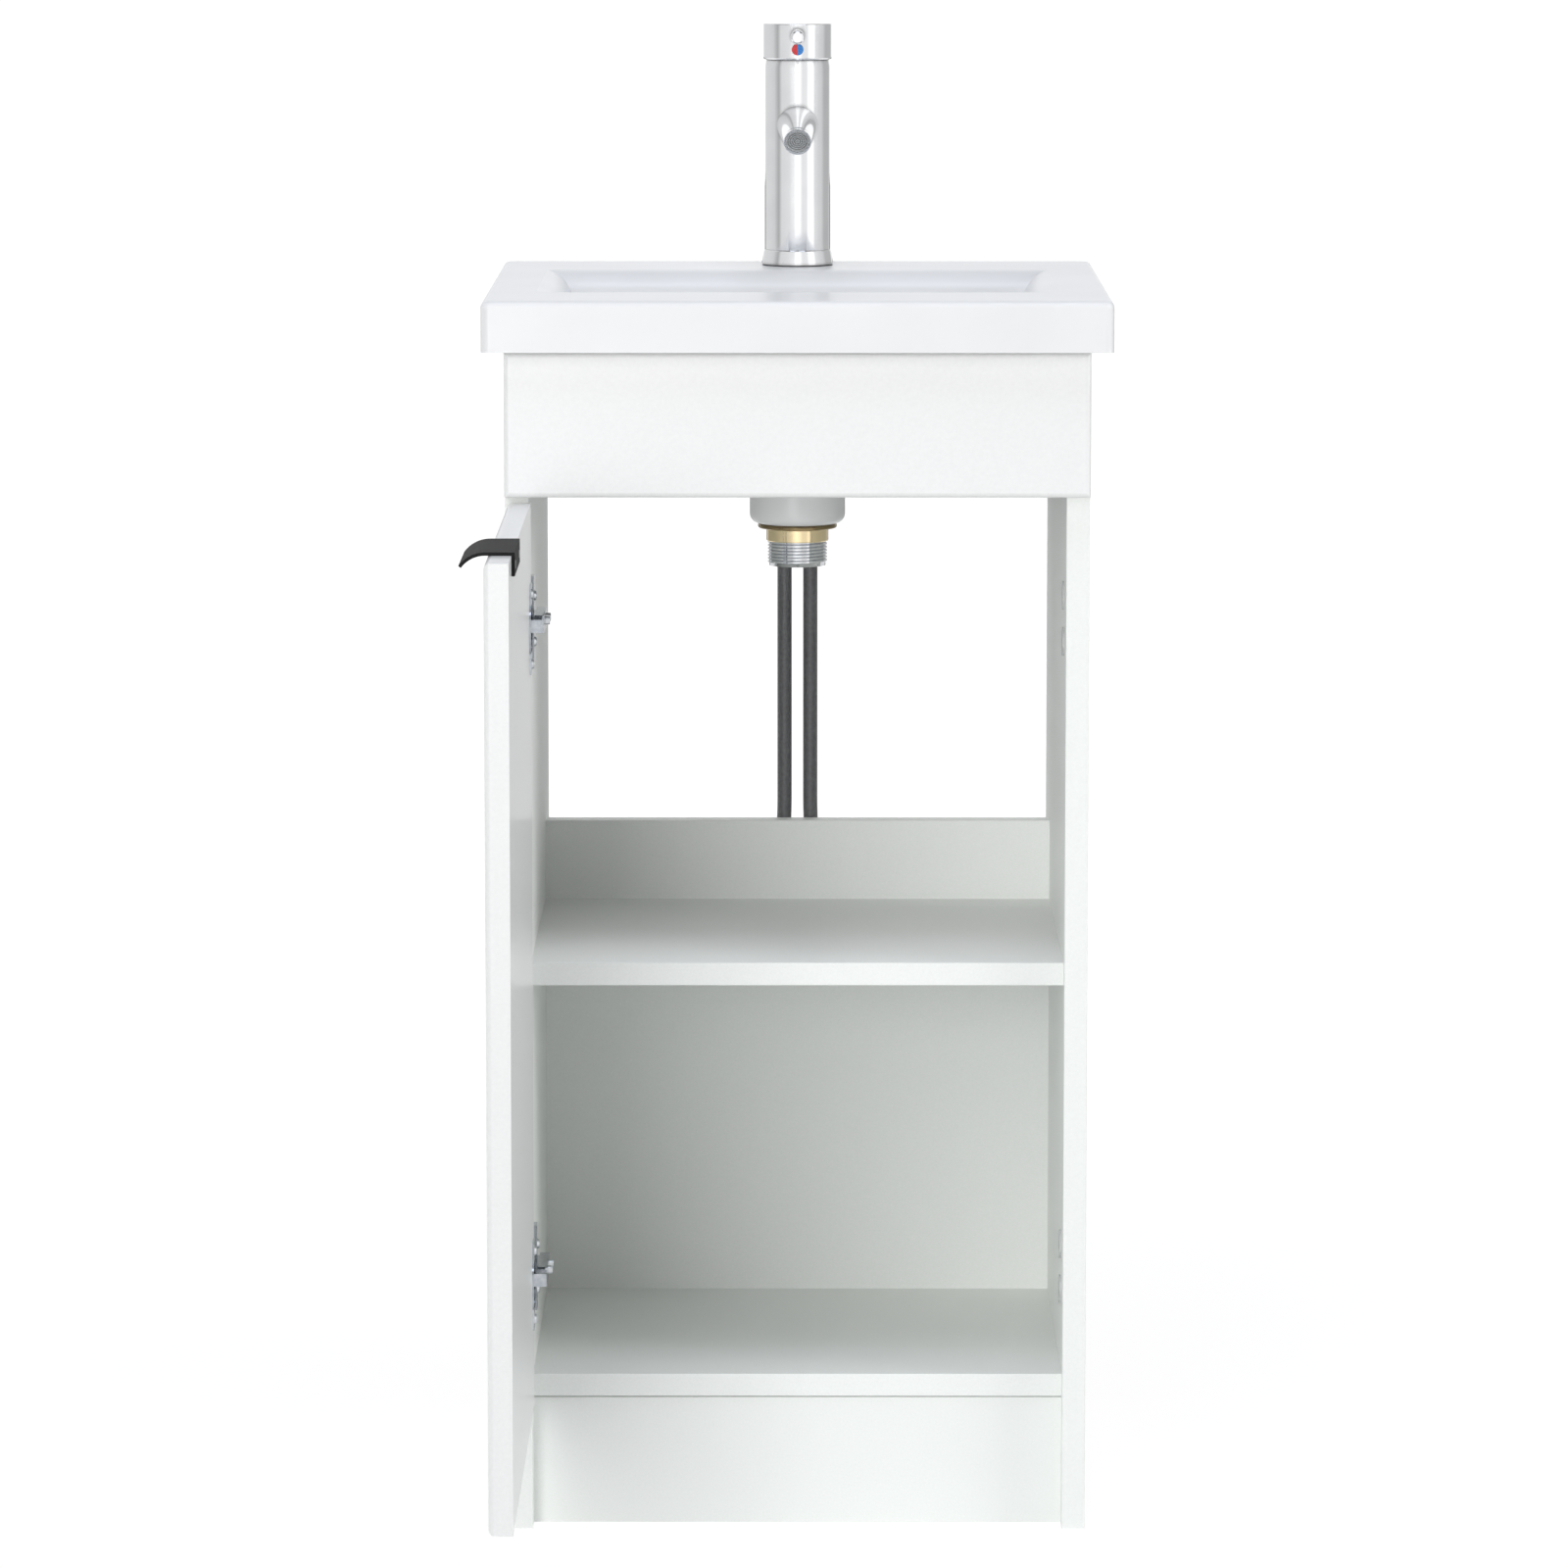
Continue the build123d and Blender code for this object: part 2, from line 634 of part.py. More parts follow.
# Ceramic-disc cartridge with a round bore for its turning carrier
carrier_floor = pivot_z - stem_below_pivot - cartridge_clearance - carrier_web
with BuildPart() as cartridge:
    rod((0, tap_y, cartridge_floor), (0, 0, 1), cartridge_radius, cartridge_bottom)
    carrier_bore = carrier_radius + carrier_bore_clearance
    bore_foot = (0, tap_y, carrier_floor - running_clearance)
    rod(bore_foot, (0, 0, 1), carrier_bore, cartridge_bottom, Mode.SUBTRACT)
finish(cartridge, "cartridge")

# Domed retaining ring: a slice of a ball centred on the lever's pivot
with BuildPart() as cartridge_dome:
    with Locations((0, tap_y, pivot_z)):
        Sphere(body_radius)
    block(
        (-body_radius, tap_y - body_radius, pivot_z - body_radius),
        (body_radius, tap_y + body_radius, pivot_z),
        Mode.SUBTRACT,
    )
    block(
        (-body_radius, tap_y - body_radius, pivot_z + dome_height),
        (body_radius, tap_y + body_radius, pivot_z + body_radius),
        Mode.SUBTRACT,
    )
    rod((0, tap_y, pivot_z), (0, 0, 1), dome_opening, dome_height, Mode.SUBTRACT)
finish(cartridge_dome, "cartridge_dome")

# Turning carrier: slotted drum that swivels in the cartridge and carries the tilt pin
carrier_top = pivot_z + carrier_above_pivot
with BuildPart() as lever_carrier:
    rod((0, tap_y, carrier_floor), (0, 0, 1), carrier_radius, carrier_top - carrier_floor)
    block(
        (-stem_width / 2 - stem_clearance, tap_y - carrier_radius, carrier_floor + carrier_web),
        (stem_width / 2 + stem_clearance, tap_y + carrier_radius, carrier_top),
        Mode.SUBTRACT,
    )
    pin_foot = (-pivot_pin_length / 2, tap_y, pivot_z)
    rod(pin_foot, (1, 0, 0), pivot_pin_radius + hinge_pin_clearance, pivot_pin_length, Mode.SUBTRACT)
finish(lever_carrier, "lever_carrier")

with BuildPart() as lever_pivot_pin:
    rod(pin_foot, (1, 0, 0), pivot_pin_radius, pivot_pin_length)
finish(lever_pivot_pin, "lever_pivot_pin")

# Lever stem that tilts in the carrier's slot and plugs into the cap
cap_ceiling = cap_top - cap_roof
stem_top = cap_ceiling + stem_in_roof
with BuildPart() as lever_stem:
    block(
        (-stem_width / 2, tap_y - stem_depth / 2, pivot_z),
        (stem_width / 2, tap_y + stem_depth / 2, stem_top),
    )
    rod((-stem_width / 2, tap_y, pivot_z), (1, 0, 0), stem_depth / 2, stem_width)
    bore = pivot_pin_radius + running_clearance
    rod((-stem_width / 2, tap_y, pivot_z), (1, 0, 0), bore, stem_width, Mode.SUBTRACT)
finish(lever_stem, "lever_stem")

# Lever cap: a cup over the dome, with sockets for the stem, the pin lever and the colour dot
lever_z = cap_top - lever_below_top
dot_z = cap_top - dot_below_top
with BuildPart() as lever_cap:
    rod((0, tap_y, cap_bottom), (0, 0, 1), cap_radius, cap_height)
    fillet(lever_cap.faces().sort_by(Axis.Z)[-1].edges(), cap_edge)
    fillet(lever_cap.faces().sort_by(Axis.Z)[0].edges(), cap_lower_edge)
    rod((0, tap_y, cap_bottom), (0, 0, 1), cap_bore, cap_height - cap_roof, Mode.SUBTRACT)
    block(
        (-stem_width / 2 - running_clearance, tap_y - stem_depth / 2 - running_clearance, cap_ceiling),
        (stem_width / 2 + running_clearance, tap_y + stem_depth / 2 + running_clearance, stem_top),
        Mode.SUBTRACT,
    )
    socket_bottom = (0, tap_y - cap_radius + lever_socket, lever_z)
    rod(socket_bottom, (0, -1, 0), lever_radius + running_clearance, lever_socket, Mode.SUBTRACT)
    dot_back = (0, tap_y - cap_radius + dot_inset, dot_z)
    rod(dot_back, (0, -1, 0), dot_radius + dot_clearance, cap_radius, Mode.SUBTRACT)
finish(lever_cap, "lever_cap")

with BuildPart() as lever_pin:
    rod(socket_bottom, (0, -1, 0), lever_radius, lever_socket + lever_length)
    fillet(lever_pin.faces().sort_by(Axis.Y)[0].edges(), lever_end_radius)
finish(lever_pin, "lever_pin")

with BuildPart() as colour_dot:
    rod(dot_back, (0, -1, 0), dot_radius, dot_inset + dot_proud)
finish(colour_dot, "colour_dot")

# Stud, horseshoe gasket, horseshoe washer and nut that clamp the tap to the deck
deck_under = basin_top - deck_thickness
steel_top = deck_under - horseshoe_rubber
nut_seat = steel_top - horseshoe_steel
stud_foot = nut_seat - stud_nut_height - stud_tail
with BuildPart() as fixing_stud:
    rod((0, stud_y, stud_foot), (0, 0, 1), stud_radius, tap_foot + stud_in_body - stud_foot)
finish(fixing_stud, "fixing_stud")

for top, thick, name in (
    (deck_under, horseshoe_rubber, "horseshoe_gasket"),
    (steel_top, horseshoe_steel, "horseshoe_washer"),
):
    with BuildPart() as horseshoe:
        with BuildSketch(Plane.XY.offset(top - thick)):
            with Locations(tap_axis):
                Circle(horseshoe_radius)
            slot_rear_y = tap_y + ferrule_radius + horseshoe_hose_gap
            with Locations((0, slot_rear_y - horseshoe_radius)):
                slot = 2 * (horseshoe_radius - horseshoe_leg)
                Rectangle(slot, 2 * horseshoe_radius, mode=Mode.SUBTRACT)
            with Locations((0, stud_y)):
                Circle(stud_radius + thread_clearance, mode=Mode.SUBTRACT)
        extrude(amount=thick)
    finish(horseshoe, name)

with BuildPart() as fixing_nut:
    with BuildSketch(Plane.XY.offset(nut_seat - stud_nut_height)):
        with Locations((0, stud_y)):
            RegularPolygon(stud_nut_flats / 2, hex_sides, major_radius=False)
            Circle(stud_radius + thread_clearance, mode=Mode.SUBTRACT)
    extrude(amount=stud_nut_height)
finish(fixing_nut, "fixing_nut")

# Flexible tap hoses: straight down from the tap, spreading a little to make room for their nuts
ferrule_top = tap_foot - hose_nipple_length
tube_top = ferrule_top - ferrule_length
hose_bend_top = tube_top - hose_straight
hose_bend_bottom = hose_bend_top - hose_spread
hose_tube_bottom = hose_bend_bottom - hose_tail
for side, name in ((-1, "hot"), (1, "cold")):
    near_x = side * hose_spacing / 2
    far_x = side * hose_end_spacing / 2
    with BuildPart() as hose_ferrules:
        nipple_length = hose_nipple_length + hose_nipple_in_body - running_clearance
        rod((near_x, tap_y, ferrule_top), (0, 0, 1), hose_nipple_radius, nipple_length)
        rod((near_x, tap_y, tube_top), (0, 0, 1), ferrule_radius, ferrule_length)
    finish(hose_ferrules, f"{name}_hose_nipple")

    route = [
        (near_x, tube_top),
        (near_x, hose_bend_top),
        (far_x, hose_bend_bottom),
        (far_x, hose_tube_bottom),
    ]
    turn = atan2(abs(far_x - near_x), hose_spread)
    bend_radius = hose_bend_share * hose_tail / tan(turn / 2)
    with BuildPart() as hose:
        with BuildLine(Plane.XZ.offset(-tap_y)) as path:
            FilletPolyline(*route, radius=bend_radius)
        with BuildSketch(Plane.XY.offset(tube_top)):
            with Locations((near_x, tap_y)):
                Circle(hose_radius)
        sweep(path=path.wires()[0])
    route_length = sum(edge.length for edge in path.edges())
    volume_share = hose.part.volume / (route_length * pi * hose_radius**2)
    print(f"{name} hose: length {route_length:.1f}, bend radius {bend_radius:.0f}")
    print(f"{name} hose: volume share {volume_share:.4f}")
    finish(hose, f"{name}_hose")

    with BuildPart() as hose_end:
        rod((far_x, tap_y, hose_tube_bottom), (0, 0, -1), ferrule_radius, ferrule_length)
        nut_top_z = hose_tube_bottom - ferrule_length
        with BuildSketch(Plane.XY.offset(nut_top_z - hose_nut_height)):
            with Locations((far_x, tap_y)):
                RegularPolygon(hose_nut_flats / 2, hex_sides, major_radius=False, rotation=180 / hex_sides)
        extrude(amount=hose_nut_height)
        mouth = (far_x, tap_y, nut_top_z - hose_nut_height)
        rod(mouth, (0, 0, 1), hose_nut_bore, hose_nut_bore_depth, Mode.SUBTRACT)
    finish(hose_end, f"{name}_hose_nut")

# Door, shown open at a right angle: its face looks to -X and its edges are rounded on that side
with BuildPart() as door:
    block((door_outer_x, door_free_y, door_bottom), (door_inner_x, door_near_y, door_top))
    fillet(door.faces().sort_by(Axis.X)[0].edges(), door_edge_radius)
    for hinge_z in hinge_heights:
        bore_depth = cup_depth + cup_bore_clearance
        bore_mouth = (door_inner_x, cup_y, hinge_z)
        rod(bore_mouth, (-1, 0, 0), cup_radius + cup_bore_clearance, bore_depth, Mode.SUBTRACT)
        for step in (-cup_screw_spacing / 2, cup_screw_spacing / 2):
            mouth = (door_inner_x, cup_y - cup_wing_shift, hinge_z + step)
            rod(mouth, (-1, 0, 0), screw_hole, screw_length, Mode.SUBTRACT)
    pull_mid_y = door_free_y + pull_from_edge + pull_length / 2
    pull_screw_z = door_top - pull_tab / 2 + pull_thick / 2
    for step in (-pull_screw_spacing / 2, pull_screw_spacing / 2):
        mouth = (door_inner_x, pull_mid_y + step, pull_screw_z)
        rod(mouth, (-1, 0, 0), screw_hole, screw_length, Mode.SUBTRACT)
finish(door, "door")

# Top-edge pull: one bent strip over the door's top, with a tab inside and a curled lip outside
with BuildPart() as door_pull:
    with BuildSketch(Plane.XZ.offset(-(pull_mid_y + pull_length / 2))):
        with BuildLine():
            tab_foot = (door_inner_x + pull_thick / 2, door_top + pull_thick - pull_tab)
            corner = (door_inner_x + pull_thick / 2, door_top + pull_thick / 2)
            flat_end = (door_outer_x - pull_flat, door_top + pull_thick / 2)
            Line(tab_foot, corner)
            Line(corner, flat_end)
            curl = JernArc(flat_end, (-1, 0), pull_arc_radius - pull_thick / 2, pull_arc_angle)
            Line(curl @ 1, (curl @ 1) + (curl % 1) * pull_tip)
            offset(amount=pull_thick / 2, side=Side.BOTH)
        make_face()
    extrude(amount=pull_length)
    for step in (-pull_screw_spacing / 2, pull_screw_spacing / 2):
        rod((door_inner_x, pull_mid_y + step, pull_screw_z), (1, 0, 0), screw_hole, pull_thick, Mode.SUBTRACT)
        seat = (door_inner_x + pull_head_seat, pull_mid_y + step, pull_screw_z)
        rod(seat, (1, 0, 0), screw_head_radius + screw_hole_clearance, pull_thick, Mode.SUBTRACT)
finish(door_pull, "door_pull")


def screw(head_face, direction):
    """Round-headed screw: the head stands on a face and the shank goes the other way."""
    into = tuple(-value for value in direction)
    rod(head_face, direction, screw_head_radius, screw_head_thick)
    rod(head_face, into, screw_shank_radius, screw_length - screw_hole_clearance)


with BuildPart() as pull_screws:
    for step in (-pull_screw_spacing / 2, pull_screw_spacing / 2):
        screw((door_inner_x + pull_head_seat, pull_mid_y + step, pull_screw_z), (1, 0, 0))
finish(pull_screws, "pull_screws")

# Concealed hinges: cup and pin in the door, arm and mounting plate on the left side panel
web_x = -inner_half + arm_standoff
neck_y = hinge_y - neck_shift
arm_rear_y = front_y + arm_rear
for hinge_z, name in zip(hinge_heights, ("lower", "upper")):
    with BuildPart() as hinge_cup:
        rod((door_inner_x, cup_y, hinge_z), (-1, 0, 0), cup_radius, cup_depth)
        rod((door_inner_x, cup_y, hinge_z), (1, 0, 0), cup_radius + cup_rim_overlap, cup_rim)
        wing_y = cup_y - cup_wing_shift
        block(
            (door_inner_x, wing_y - cup_wing_width / 2, hinge_z - cup_wing_length / 2),
            (door_inner_x + cup_rim, wing_y + cup_wing_width / 2, hinge_z + cup_wing_length / 2),
        )
        inside_depth = cup_depth + cup_rim - cup_wall
        mouth = (door_inner_x + cup_rim, cup_y, hinge_z)
        rod(mouth, (-1, 0, 0), cup_radius - cup_wall, inside_depth, Mode.SUBTRACT)
        for side in (-1, 1):
            ear_low = hinge_z + side * (knuckle_height / 2 + ear_clearance)
            ear_high = ear_low + side * ear_thick
            block(
                (door_inner_x - cup_depth, hinge_y - ear_reach, min(ear_low, ear_high)),
                (hinge_x + ear_reach, hinge_y + ear_reach, max(ear_low, ear_high)),
            )
        ear_span = knuckle_height + 2 * (ear_clearance + ear_thick)
        pin_low = (hinge_x, hinge_y, hinge_z - ear_span / 2)
        rod(pin_low, (0, 0, 1), hinge_pin_radius + hinge_pin_clearance, ear_span, Mode.SUBTRACT)
        for step in (-cup_screw_spacing / 2, cup_screw_spacing / 2):
            rod((door_inner_x, wing_y, hinge_z + step), (1, 0, 0), screw_hole, cup_rim, Mode.SUBTRACT)
    finish(hinge_cup, f"{name}_hinge_cup")

    with BuildPart() as hinge_pin:
        rod(pin_low, (0, 0, 1), hinge_pin_radius, ear_span)
    finish(hinge_pin, f"{name}_hinge_pin")

    with BuildPart() as hinge_arm:
        half_knuckle = knuckle_height / 2
        knuckle_foot = (hinge_x, hinge_y, hinge_z - half_knuckle)
        rod(knuckle_foot, (0, 0, 1), hinge_pin_radius + knuckle_wall, knuckle_height)
        block(
            (hinge_x, neck_y - neck_thick / 2, hinge_z - half_knuckle),
            (web_x + arm_web, neck_y + neck_thick / 2, hinge_z + half_knuckle),
        )
        block(
            (web_x, neck_y - neck_thick / 2, hinge_z - half_knuckle),
            (web_x + arm_web, front_y, hinge_z + half_knuckle),
        )
        block(
            (web_x, front_y, hinge_z - arm_height / 2),
            (web_x + arm_web, arm_rear_y, hinge_z + arm_height / 2),
        )
        for side in (-1, 1):
            outside = hinge_z + side * arm_height / 2
            inside = outside - side * arm_flange
            block(
                (web_x - arm_flange_depth, front_y + arm_flange_start, min(outside, inside)),
                (web_x, arm_rear_y, max(outside, inside)),
            )
        bore = hinge_pin_radius + running_clearance
        rod(knuckle_foot, (0, 0, 1), bore, knuckle_height, Mode.SUBTRACT)
        for setback in adjuster_setbacks:
            rod((web_x, front_y + setback, hinge_z), (1, 0, 0), screw_hole, arm_web, Mode.SUBTRACT)
    finish(hinge_arm, f"{name}_hinge_arm")

    with BuildPart() as hinge_plate:
        plate_face = -inner_half + plate_thick
        block(
            (-inner_half, plate_screw_y - plate_wing_width / 2, hinge_z - plate_wing_length / 2),
            (plate_face, plate_screw_y + plate_wing_width / 2, hinge_z + plate_wing_length / 2),
        )
        block(
            (-inner_half, front_y + plate_rib_front, hinge_z - plate_rib_height / 2),
            (web_x, arm_rear_y, hinge_z + plate_rib_height / 2),
        )
        for step in (-plate_hole_spacing / 2, plate_hole_spacing / 2):
            mouth = (-inner_half, plate_screw_y, hinge_z + step)
            rod(mouth, (1, 0, 0), screw_hole, plate_thick, Mode.SUBTRACT)
        for setback in adjuster_setbacks:
            rod((web_x, front_y + setback, hinge_z), (-1, 0, 0), screw_hole, arm_standoff, Mode.SUBTRACT)
    finish(hinge_plate, f"{name}_hinge_plate")

with BuildPart() as hinge_cup_screws:
    for hinge_z in hinge_heights:
        for step in (-cup_screw_spacing / 2, cup_screw_spacing / 2):
            screw((door_inner_x + cup_rim, wing_y, hinge_z + step), (1, 0, 0))
finish(hinge_cup_screws, "hinge_cup_screws")

with BuildPart() as hinge_plate_screws:
    for hinge_z in hinge_heights:
        for step in (-plate_hole_spacing / 2, plate_hole_spacing / 2):
            screw((plate_face, plate_screw_y, hinge_z + step), (1, 0, 0))
finish(hinge_plate_screws, "hinge_plate_screws")

with BuildPart() as hinge_adjusters:
    for hinge_z in hinge_heights:
        for setback in adjuster_setbacks:
            head = (web_x + arm_web, front_y + setback, hinge_z)
            rod(head, (1, 0, 0), adjuster_head_radius, adjuster_head_thick)
            rod(head, (-1, 0, 0), screw_shank_radius, arm_web + arm_standoff - screw_hole_clearance)
finish(hinge_adjusters, "hinge_adjusters")

# Blanking caps over the spare hinge-plate holes in the right side panel
with BuildPart() as blanking_caps:
    for hinge_z in hinge_heights:
        for step in (-plate_hole_spacing / 2, plate_hole_spacing / 2):
            face = (inner_half, plate_screw_y, hinge_z + step)
            rod(face, (-1, 0, 0), cap_disc_radius, cap_disc_thick)
            rod(face, (1, 0, 0), screw_shank_radius, cap_stem_length - screw_hole_clearance)
finish(blanking_caps, "blanking_caps")
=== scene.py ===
# %% [markdown]
# # Dressing a bathroom vanity cabinet
# A floor-standing cabinet carries a ceramic basin with a single-lever mixer tap. Its one door stands
# open, so the waste, the two tap hoses and the inside of the carcass all show. The solids come from
# the CAD frame and stay where they are. This lesson gives each of them a surface, and adds the small
# forms that are quicker to turn or bend in Blender: the tail's thread, the hoses, the screw heads.

# %% Load the frame
import json
import math

import bmesh
import bpy
from mathutils import Matrix, Vector


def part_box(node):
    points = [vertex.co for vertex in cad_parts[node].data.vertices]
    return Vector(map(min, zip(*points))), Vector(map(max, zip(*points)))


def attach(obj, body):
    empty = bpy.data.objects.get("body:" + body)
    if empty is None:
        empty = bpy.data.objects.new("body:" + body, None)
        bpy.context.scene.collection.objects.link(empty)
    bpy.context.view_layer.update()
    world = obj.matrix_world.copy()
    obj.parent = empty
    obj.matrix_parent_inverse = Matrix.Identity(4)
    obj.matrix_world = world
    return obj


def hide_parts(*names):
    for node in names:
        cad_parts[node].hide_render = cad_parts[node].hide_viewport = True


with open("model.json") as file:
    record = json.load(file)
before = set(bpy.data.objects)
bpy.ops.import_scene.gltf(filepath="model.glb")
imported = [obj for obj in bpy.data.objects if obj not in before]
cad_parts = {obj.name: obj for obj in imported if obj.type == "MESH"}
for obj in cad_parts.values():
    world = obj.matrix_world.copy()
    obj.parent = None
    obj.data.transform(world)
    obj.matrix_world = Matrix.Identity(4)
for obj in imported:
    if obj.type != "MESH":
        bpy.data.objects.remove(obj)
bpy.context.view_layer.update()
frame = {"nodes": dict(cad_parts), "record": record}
nodes = frame["nodes"]
MM = 0.001

# %% [markdown]
# ## Colours and shader nodes
# A colour picker shows sRGB, but shaders work in linear light, so one function converts hex colours.
# Shader trees are built by hand in the editor with many clicks. In a script, one small function that
# adds a node, sets it up and joins its sockets keeps every material readable.

# %% Colour and node helpers
def linear(hex_colour):
    """Turn an sRGB hex colour into linear RGBA."""
    channels = [int(hex_colour[i:i + 2], 16) / 255 for i in (1, 3, 5)]
    return (*[c / 12.92 if c <= 0.04045 else ((c + 0.055) / 1.055) ** 2.4 for c in channels], 1.0)


def add(tree, kind, sockets=None, **settings):
    """Add a shader node. Sockets take a value or another node's output."""
    made = tree.nodes.new(kind)
    for name, value in settings.items():
        setattr(made, name, value)
    for name, value in (sockets or {}).items():
        if isinstance(value, bpy.types.NodeSocket):
            tree.links.new(value, made.inputs[name])
        else:
            made.inputs[name].default_value = value
    return made


def surface(name, colour, **shader_values):
    """Start a material: returns it, its tree, its shader and its Object coordinates."""
    material = bpy.data.materials.new(name)
    material.use_nodes = True
    tree = material.node_tree
    shader = tree.nodes["Principled BSDF"]
    shader.inputs["Base Color"].default_value = linear(colour)
    for socket, value in shader_values.items():
        shader.inputs[socket.replace("_", " ")].default_value = value
    where = add(tree, "ShaderNodeTexCoord").outputs["Object"]
    return material, tree, shader, where


def mottle(tree, shader, where, size_mm, dark, light, depth_mm=0.0, detail=3.0):
    """Drift the colour between two shades in patches of a real size, and lift the surface with it."""
    noise = add(tree, "ShaderNodeTexNoise", {"Vector": where, "Scale": 1 / (size_mm * MM), "Detail": detail})
    shades = add(tree, "ShaderNodeValToRGB", {"Fac": noise.outputs["Fac"]})
    shades.color_ramp.elements[0].position = 0.3
    shades.color_ramp.elements[1].position = 0.7
    shades.color_ramp.elements[0].color = linear(dark)
    shades.color_ramp.elements[1].color = linear(light)
    tree.links.new(shades.outputs["Color"], shader.inputs["Base Color"])
    if depth_mm:
        bump = add(tree, "ShaderNodeBump", {"Height": noise.outputs["Fac"], "Distance": depth_mm * MM})
        tree.links.new(bump.outputs["Normal"], shader.inputs["Normal"])
    return noise


finishes = {}
print("helpers ready")

# %% [markdown]
# ## White boards
# The carcass is chipboard faced with white melamine paper, pressed against a fine-textured plate.
# The eye reads that texture as a soft, satin sheen. The door and fascia are wrapped in a smoother foil,
# so they mirror the room a little more. Real grain is about 0.3 mm, too fine to show, so it is drawn
# a few times coarser.

# %% Melamine and foil
melamine, tree, shader, where = surface("melamine_faced_board", "#eff1ee", Roughness=0.45)
mottle(tree, shader, where, size_mm=1.6, dark="#edefec", light="#f1f3f0", depth_mm=0.015)
finishes["white_board"] = melamine

foil, tree, shader, where = surface("white_gloss_foil", "#eeeeed", Roughness=0.28, Coat_Weight=0.15,
                                    Coat_Roughness=0.12)
mottle(tree, shader, where, size_mm=2.4, dark="#ececeb", light="#efefee", depth_mm=0.004, detail=1.0)
finishes["white_foil"] = foil
print("boards", melamine.name, foil.name)

# %% [markdown]
# ## Glazed ceramic
# Vitreous china is dipped in glaze and fired. The glaze flows, so its surface is glassy but never quite
# flat: long, shallow waves bend the reflections. A noise some 60 mm across gives those waves.

# %% Ceramic
china, tree, shader, where = surface("glazed_vitreous_china", "#e8e8e8", Roughness=0.3, Coat_Weight=0.12,
                                     Coat_Roughness=0.1)
mottle(tree, shader, where, size_mm=60.0, dark="#e7e7e7", light="#eaeaea", depth_mm=0.05, detail=0.0)
finishes["ceramic"] = china
print("ceramic", china.name)

# %% [markdown]
# ## Metals
# The tap is polished brass under bright chrome. Its seams and corners mirror each other and look dark,
# so the Ambient Occlusion node measures how open each point is and paints that shade into the colour of the
# closed ones. The waste's thread wears a duller chrome. Its nut is plain turned brass with fine lathe rings,
# and its flange is painted a darker brown for the shade and dark reflections under the boss, so the colour
# changes with the height. The hinges are nickel-plated pressings, slightly clouded. The screws and hose
# ends are zinc-plated steel, and the pull is black powder-coated steel.

# %% Chrome
seam_reach_mm = 5.0
chrome, tree, shader, where = surface("bright_chrome_plate", "#f2f3f4", Metallic=1.0, Roughness=0.06)
mottle(tree, shader, where, size_mm=14.0, dark="#f0f1f3", light="#f4f5f6", depth_mm=0.003, detail=0.0)
plate_colour = shader.inputs["Base Color"].links[0].from_socket
# Painted shade: ambient occlusion darkens the chrome's base colour in seams and corners.
crevice = add(tree, "ShaderNodeAmbientOcclusion", {"Distance": seam_reach_mm * MM}, samples=8)
openness = add(tree, "ShaderNodeMapRange", {"Value": crevice.outputs["AO"], "From Min": 0.42,
                                            "From Max": 0.88, "To Min": 0.15, "To Max": 1.0})
seams = add(tree, "ShaderNodeVectorMath", {0: plate_colour, 1: openness.outputs["Result"]},
            operation="MULTIPLY")
tree.links.new(seams.outputs["Vector"], shader.inputs["Base Color"])
finishes["chrome"] = chrome

plated_tail, tree, shader, where = surface("chromed_pipe_thread", "#e6e7e9", Metallic=1.0, Roughness=0.1)
mottle(tree, shader, where, size_mm=6.0, dark="#dfe1e4", light="#ebecee", depth_mm=0.004)

# %% Turned brass
# The second colour is painted shade: the flange turns darker brown for the shade and dark reflections under
# the ceramic boss.
plain_brass, flange_shade_brass = "#f8e3b8", "#8d7c5c"
brass, tree, shader, where = surface("turned_brass", plain_brass, Metallic=1.0, Roughness=0.15)
waste_low, waste_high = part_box("waste_body")
waste_x = (waste_low.x + waste_high.x) / 2
waste_y = (waste_low.y + waste_high.y) / 2
lathe_ring_mm, lathe_depth_mm = 0.9, 0.02
wave_rate = 20  # radians that a wave of scale 1 runs through in a metre
centred = add(tree, "ShaderNodeMapping", {"Vector": where, "Location": (-waste_x, -waste_y, 0.0)})
rings = add(tree, "ShaderNodeTexWave", {"Vector": centred.outputs["Vector"],
                                        "Scale": 2 * math.pi / (wave_rate * lathe_ring_mm * MM)},
            wave_type="RINGS", rings_direction="Z")
bump = add(tree, "ShaderNodeBump", {"Height": rings.outputs["Fac"], "Distance": lathe_depth_mm * MM})
tree.links.new(bump.outputs["Normal"], shader.inputs["Normal"])
nut_low, nut_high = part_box("waste_back_nut")
# Painted shade: the top of the nut, its flange, fades to the darker brown by height.
flange_mm, fade_mm = 3.9, 0.8
flange_foot = nut_high.z - flange_mm * MM
height = add(tree, "ShaderNodeSeparateXYZ", {"Vector": where})
on_flange = add(tree, "ShaderNodeMapRange", {"Value": height.outputs["Z"], "From Min": flange_foot,
                                             "From Max": flange_foot + fade_mm * MM})
painted_flange_shade = add(tree, "ShaderNodeMix", {"Factor": on_flange.outputs["Result"]}, data_type="RGBA")
painted_flange_shade.inputs["A"].default_value = linear(plain_brass)
painted_flange_shade.inputs["B"].default_value = linear(flange_shade_brass)
tree.links.new(painted_flange_shade.outputs["Result"], shader.inputs["Base Color"])
finishes["brass"] = brass

# %% Plated steel
nickel, tree, shader, where = surface("nickel_plated_pressing", "#b0b4ba", Metallic=1.0, Roughness=0.17)
mottle(tree, shader, where, size_mm=4.0, dark="#a4a9b0", light="#bbbfc4", depth_mm=0.008)
finishes["hinge_nickel"] = nickel

zinc, tree, shader, where = surface("zinc_plated_steel", "#c4c7ca", Metallic=1.0, Roughness=0.28)
mottle(tree, shader, where, size_mm=5.0, dark="#b6babf", light="#ced0d2", depth_mm=0.01)
finishes["steel"] = zinc

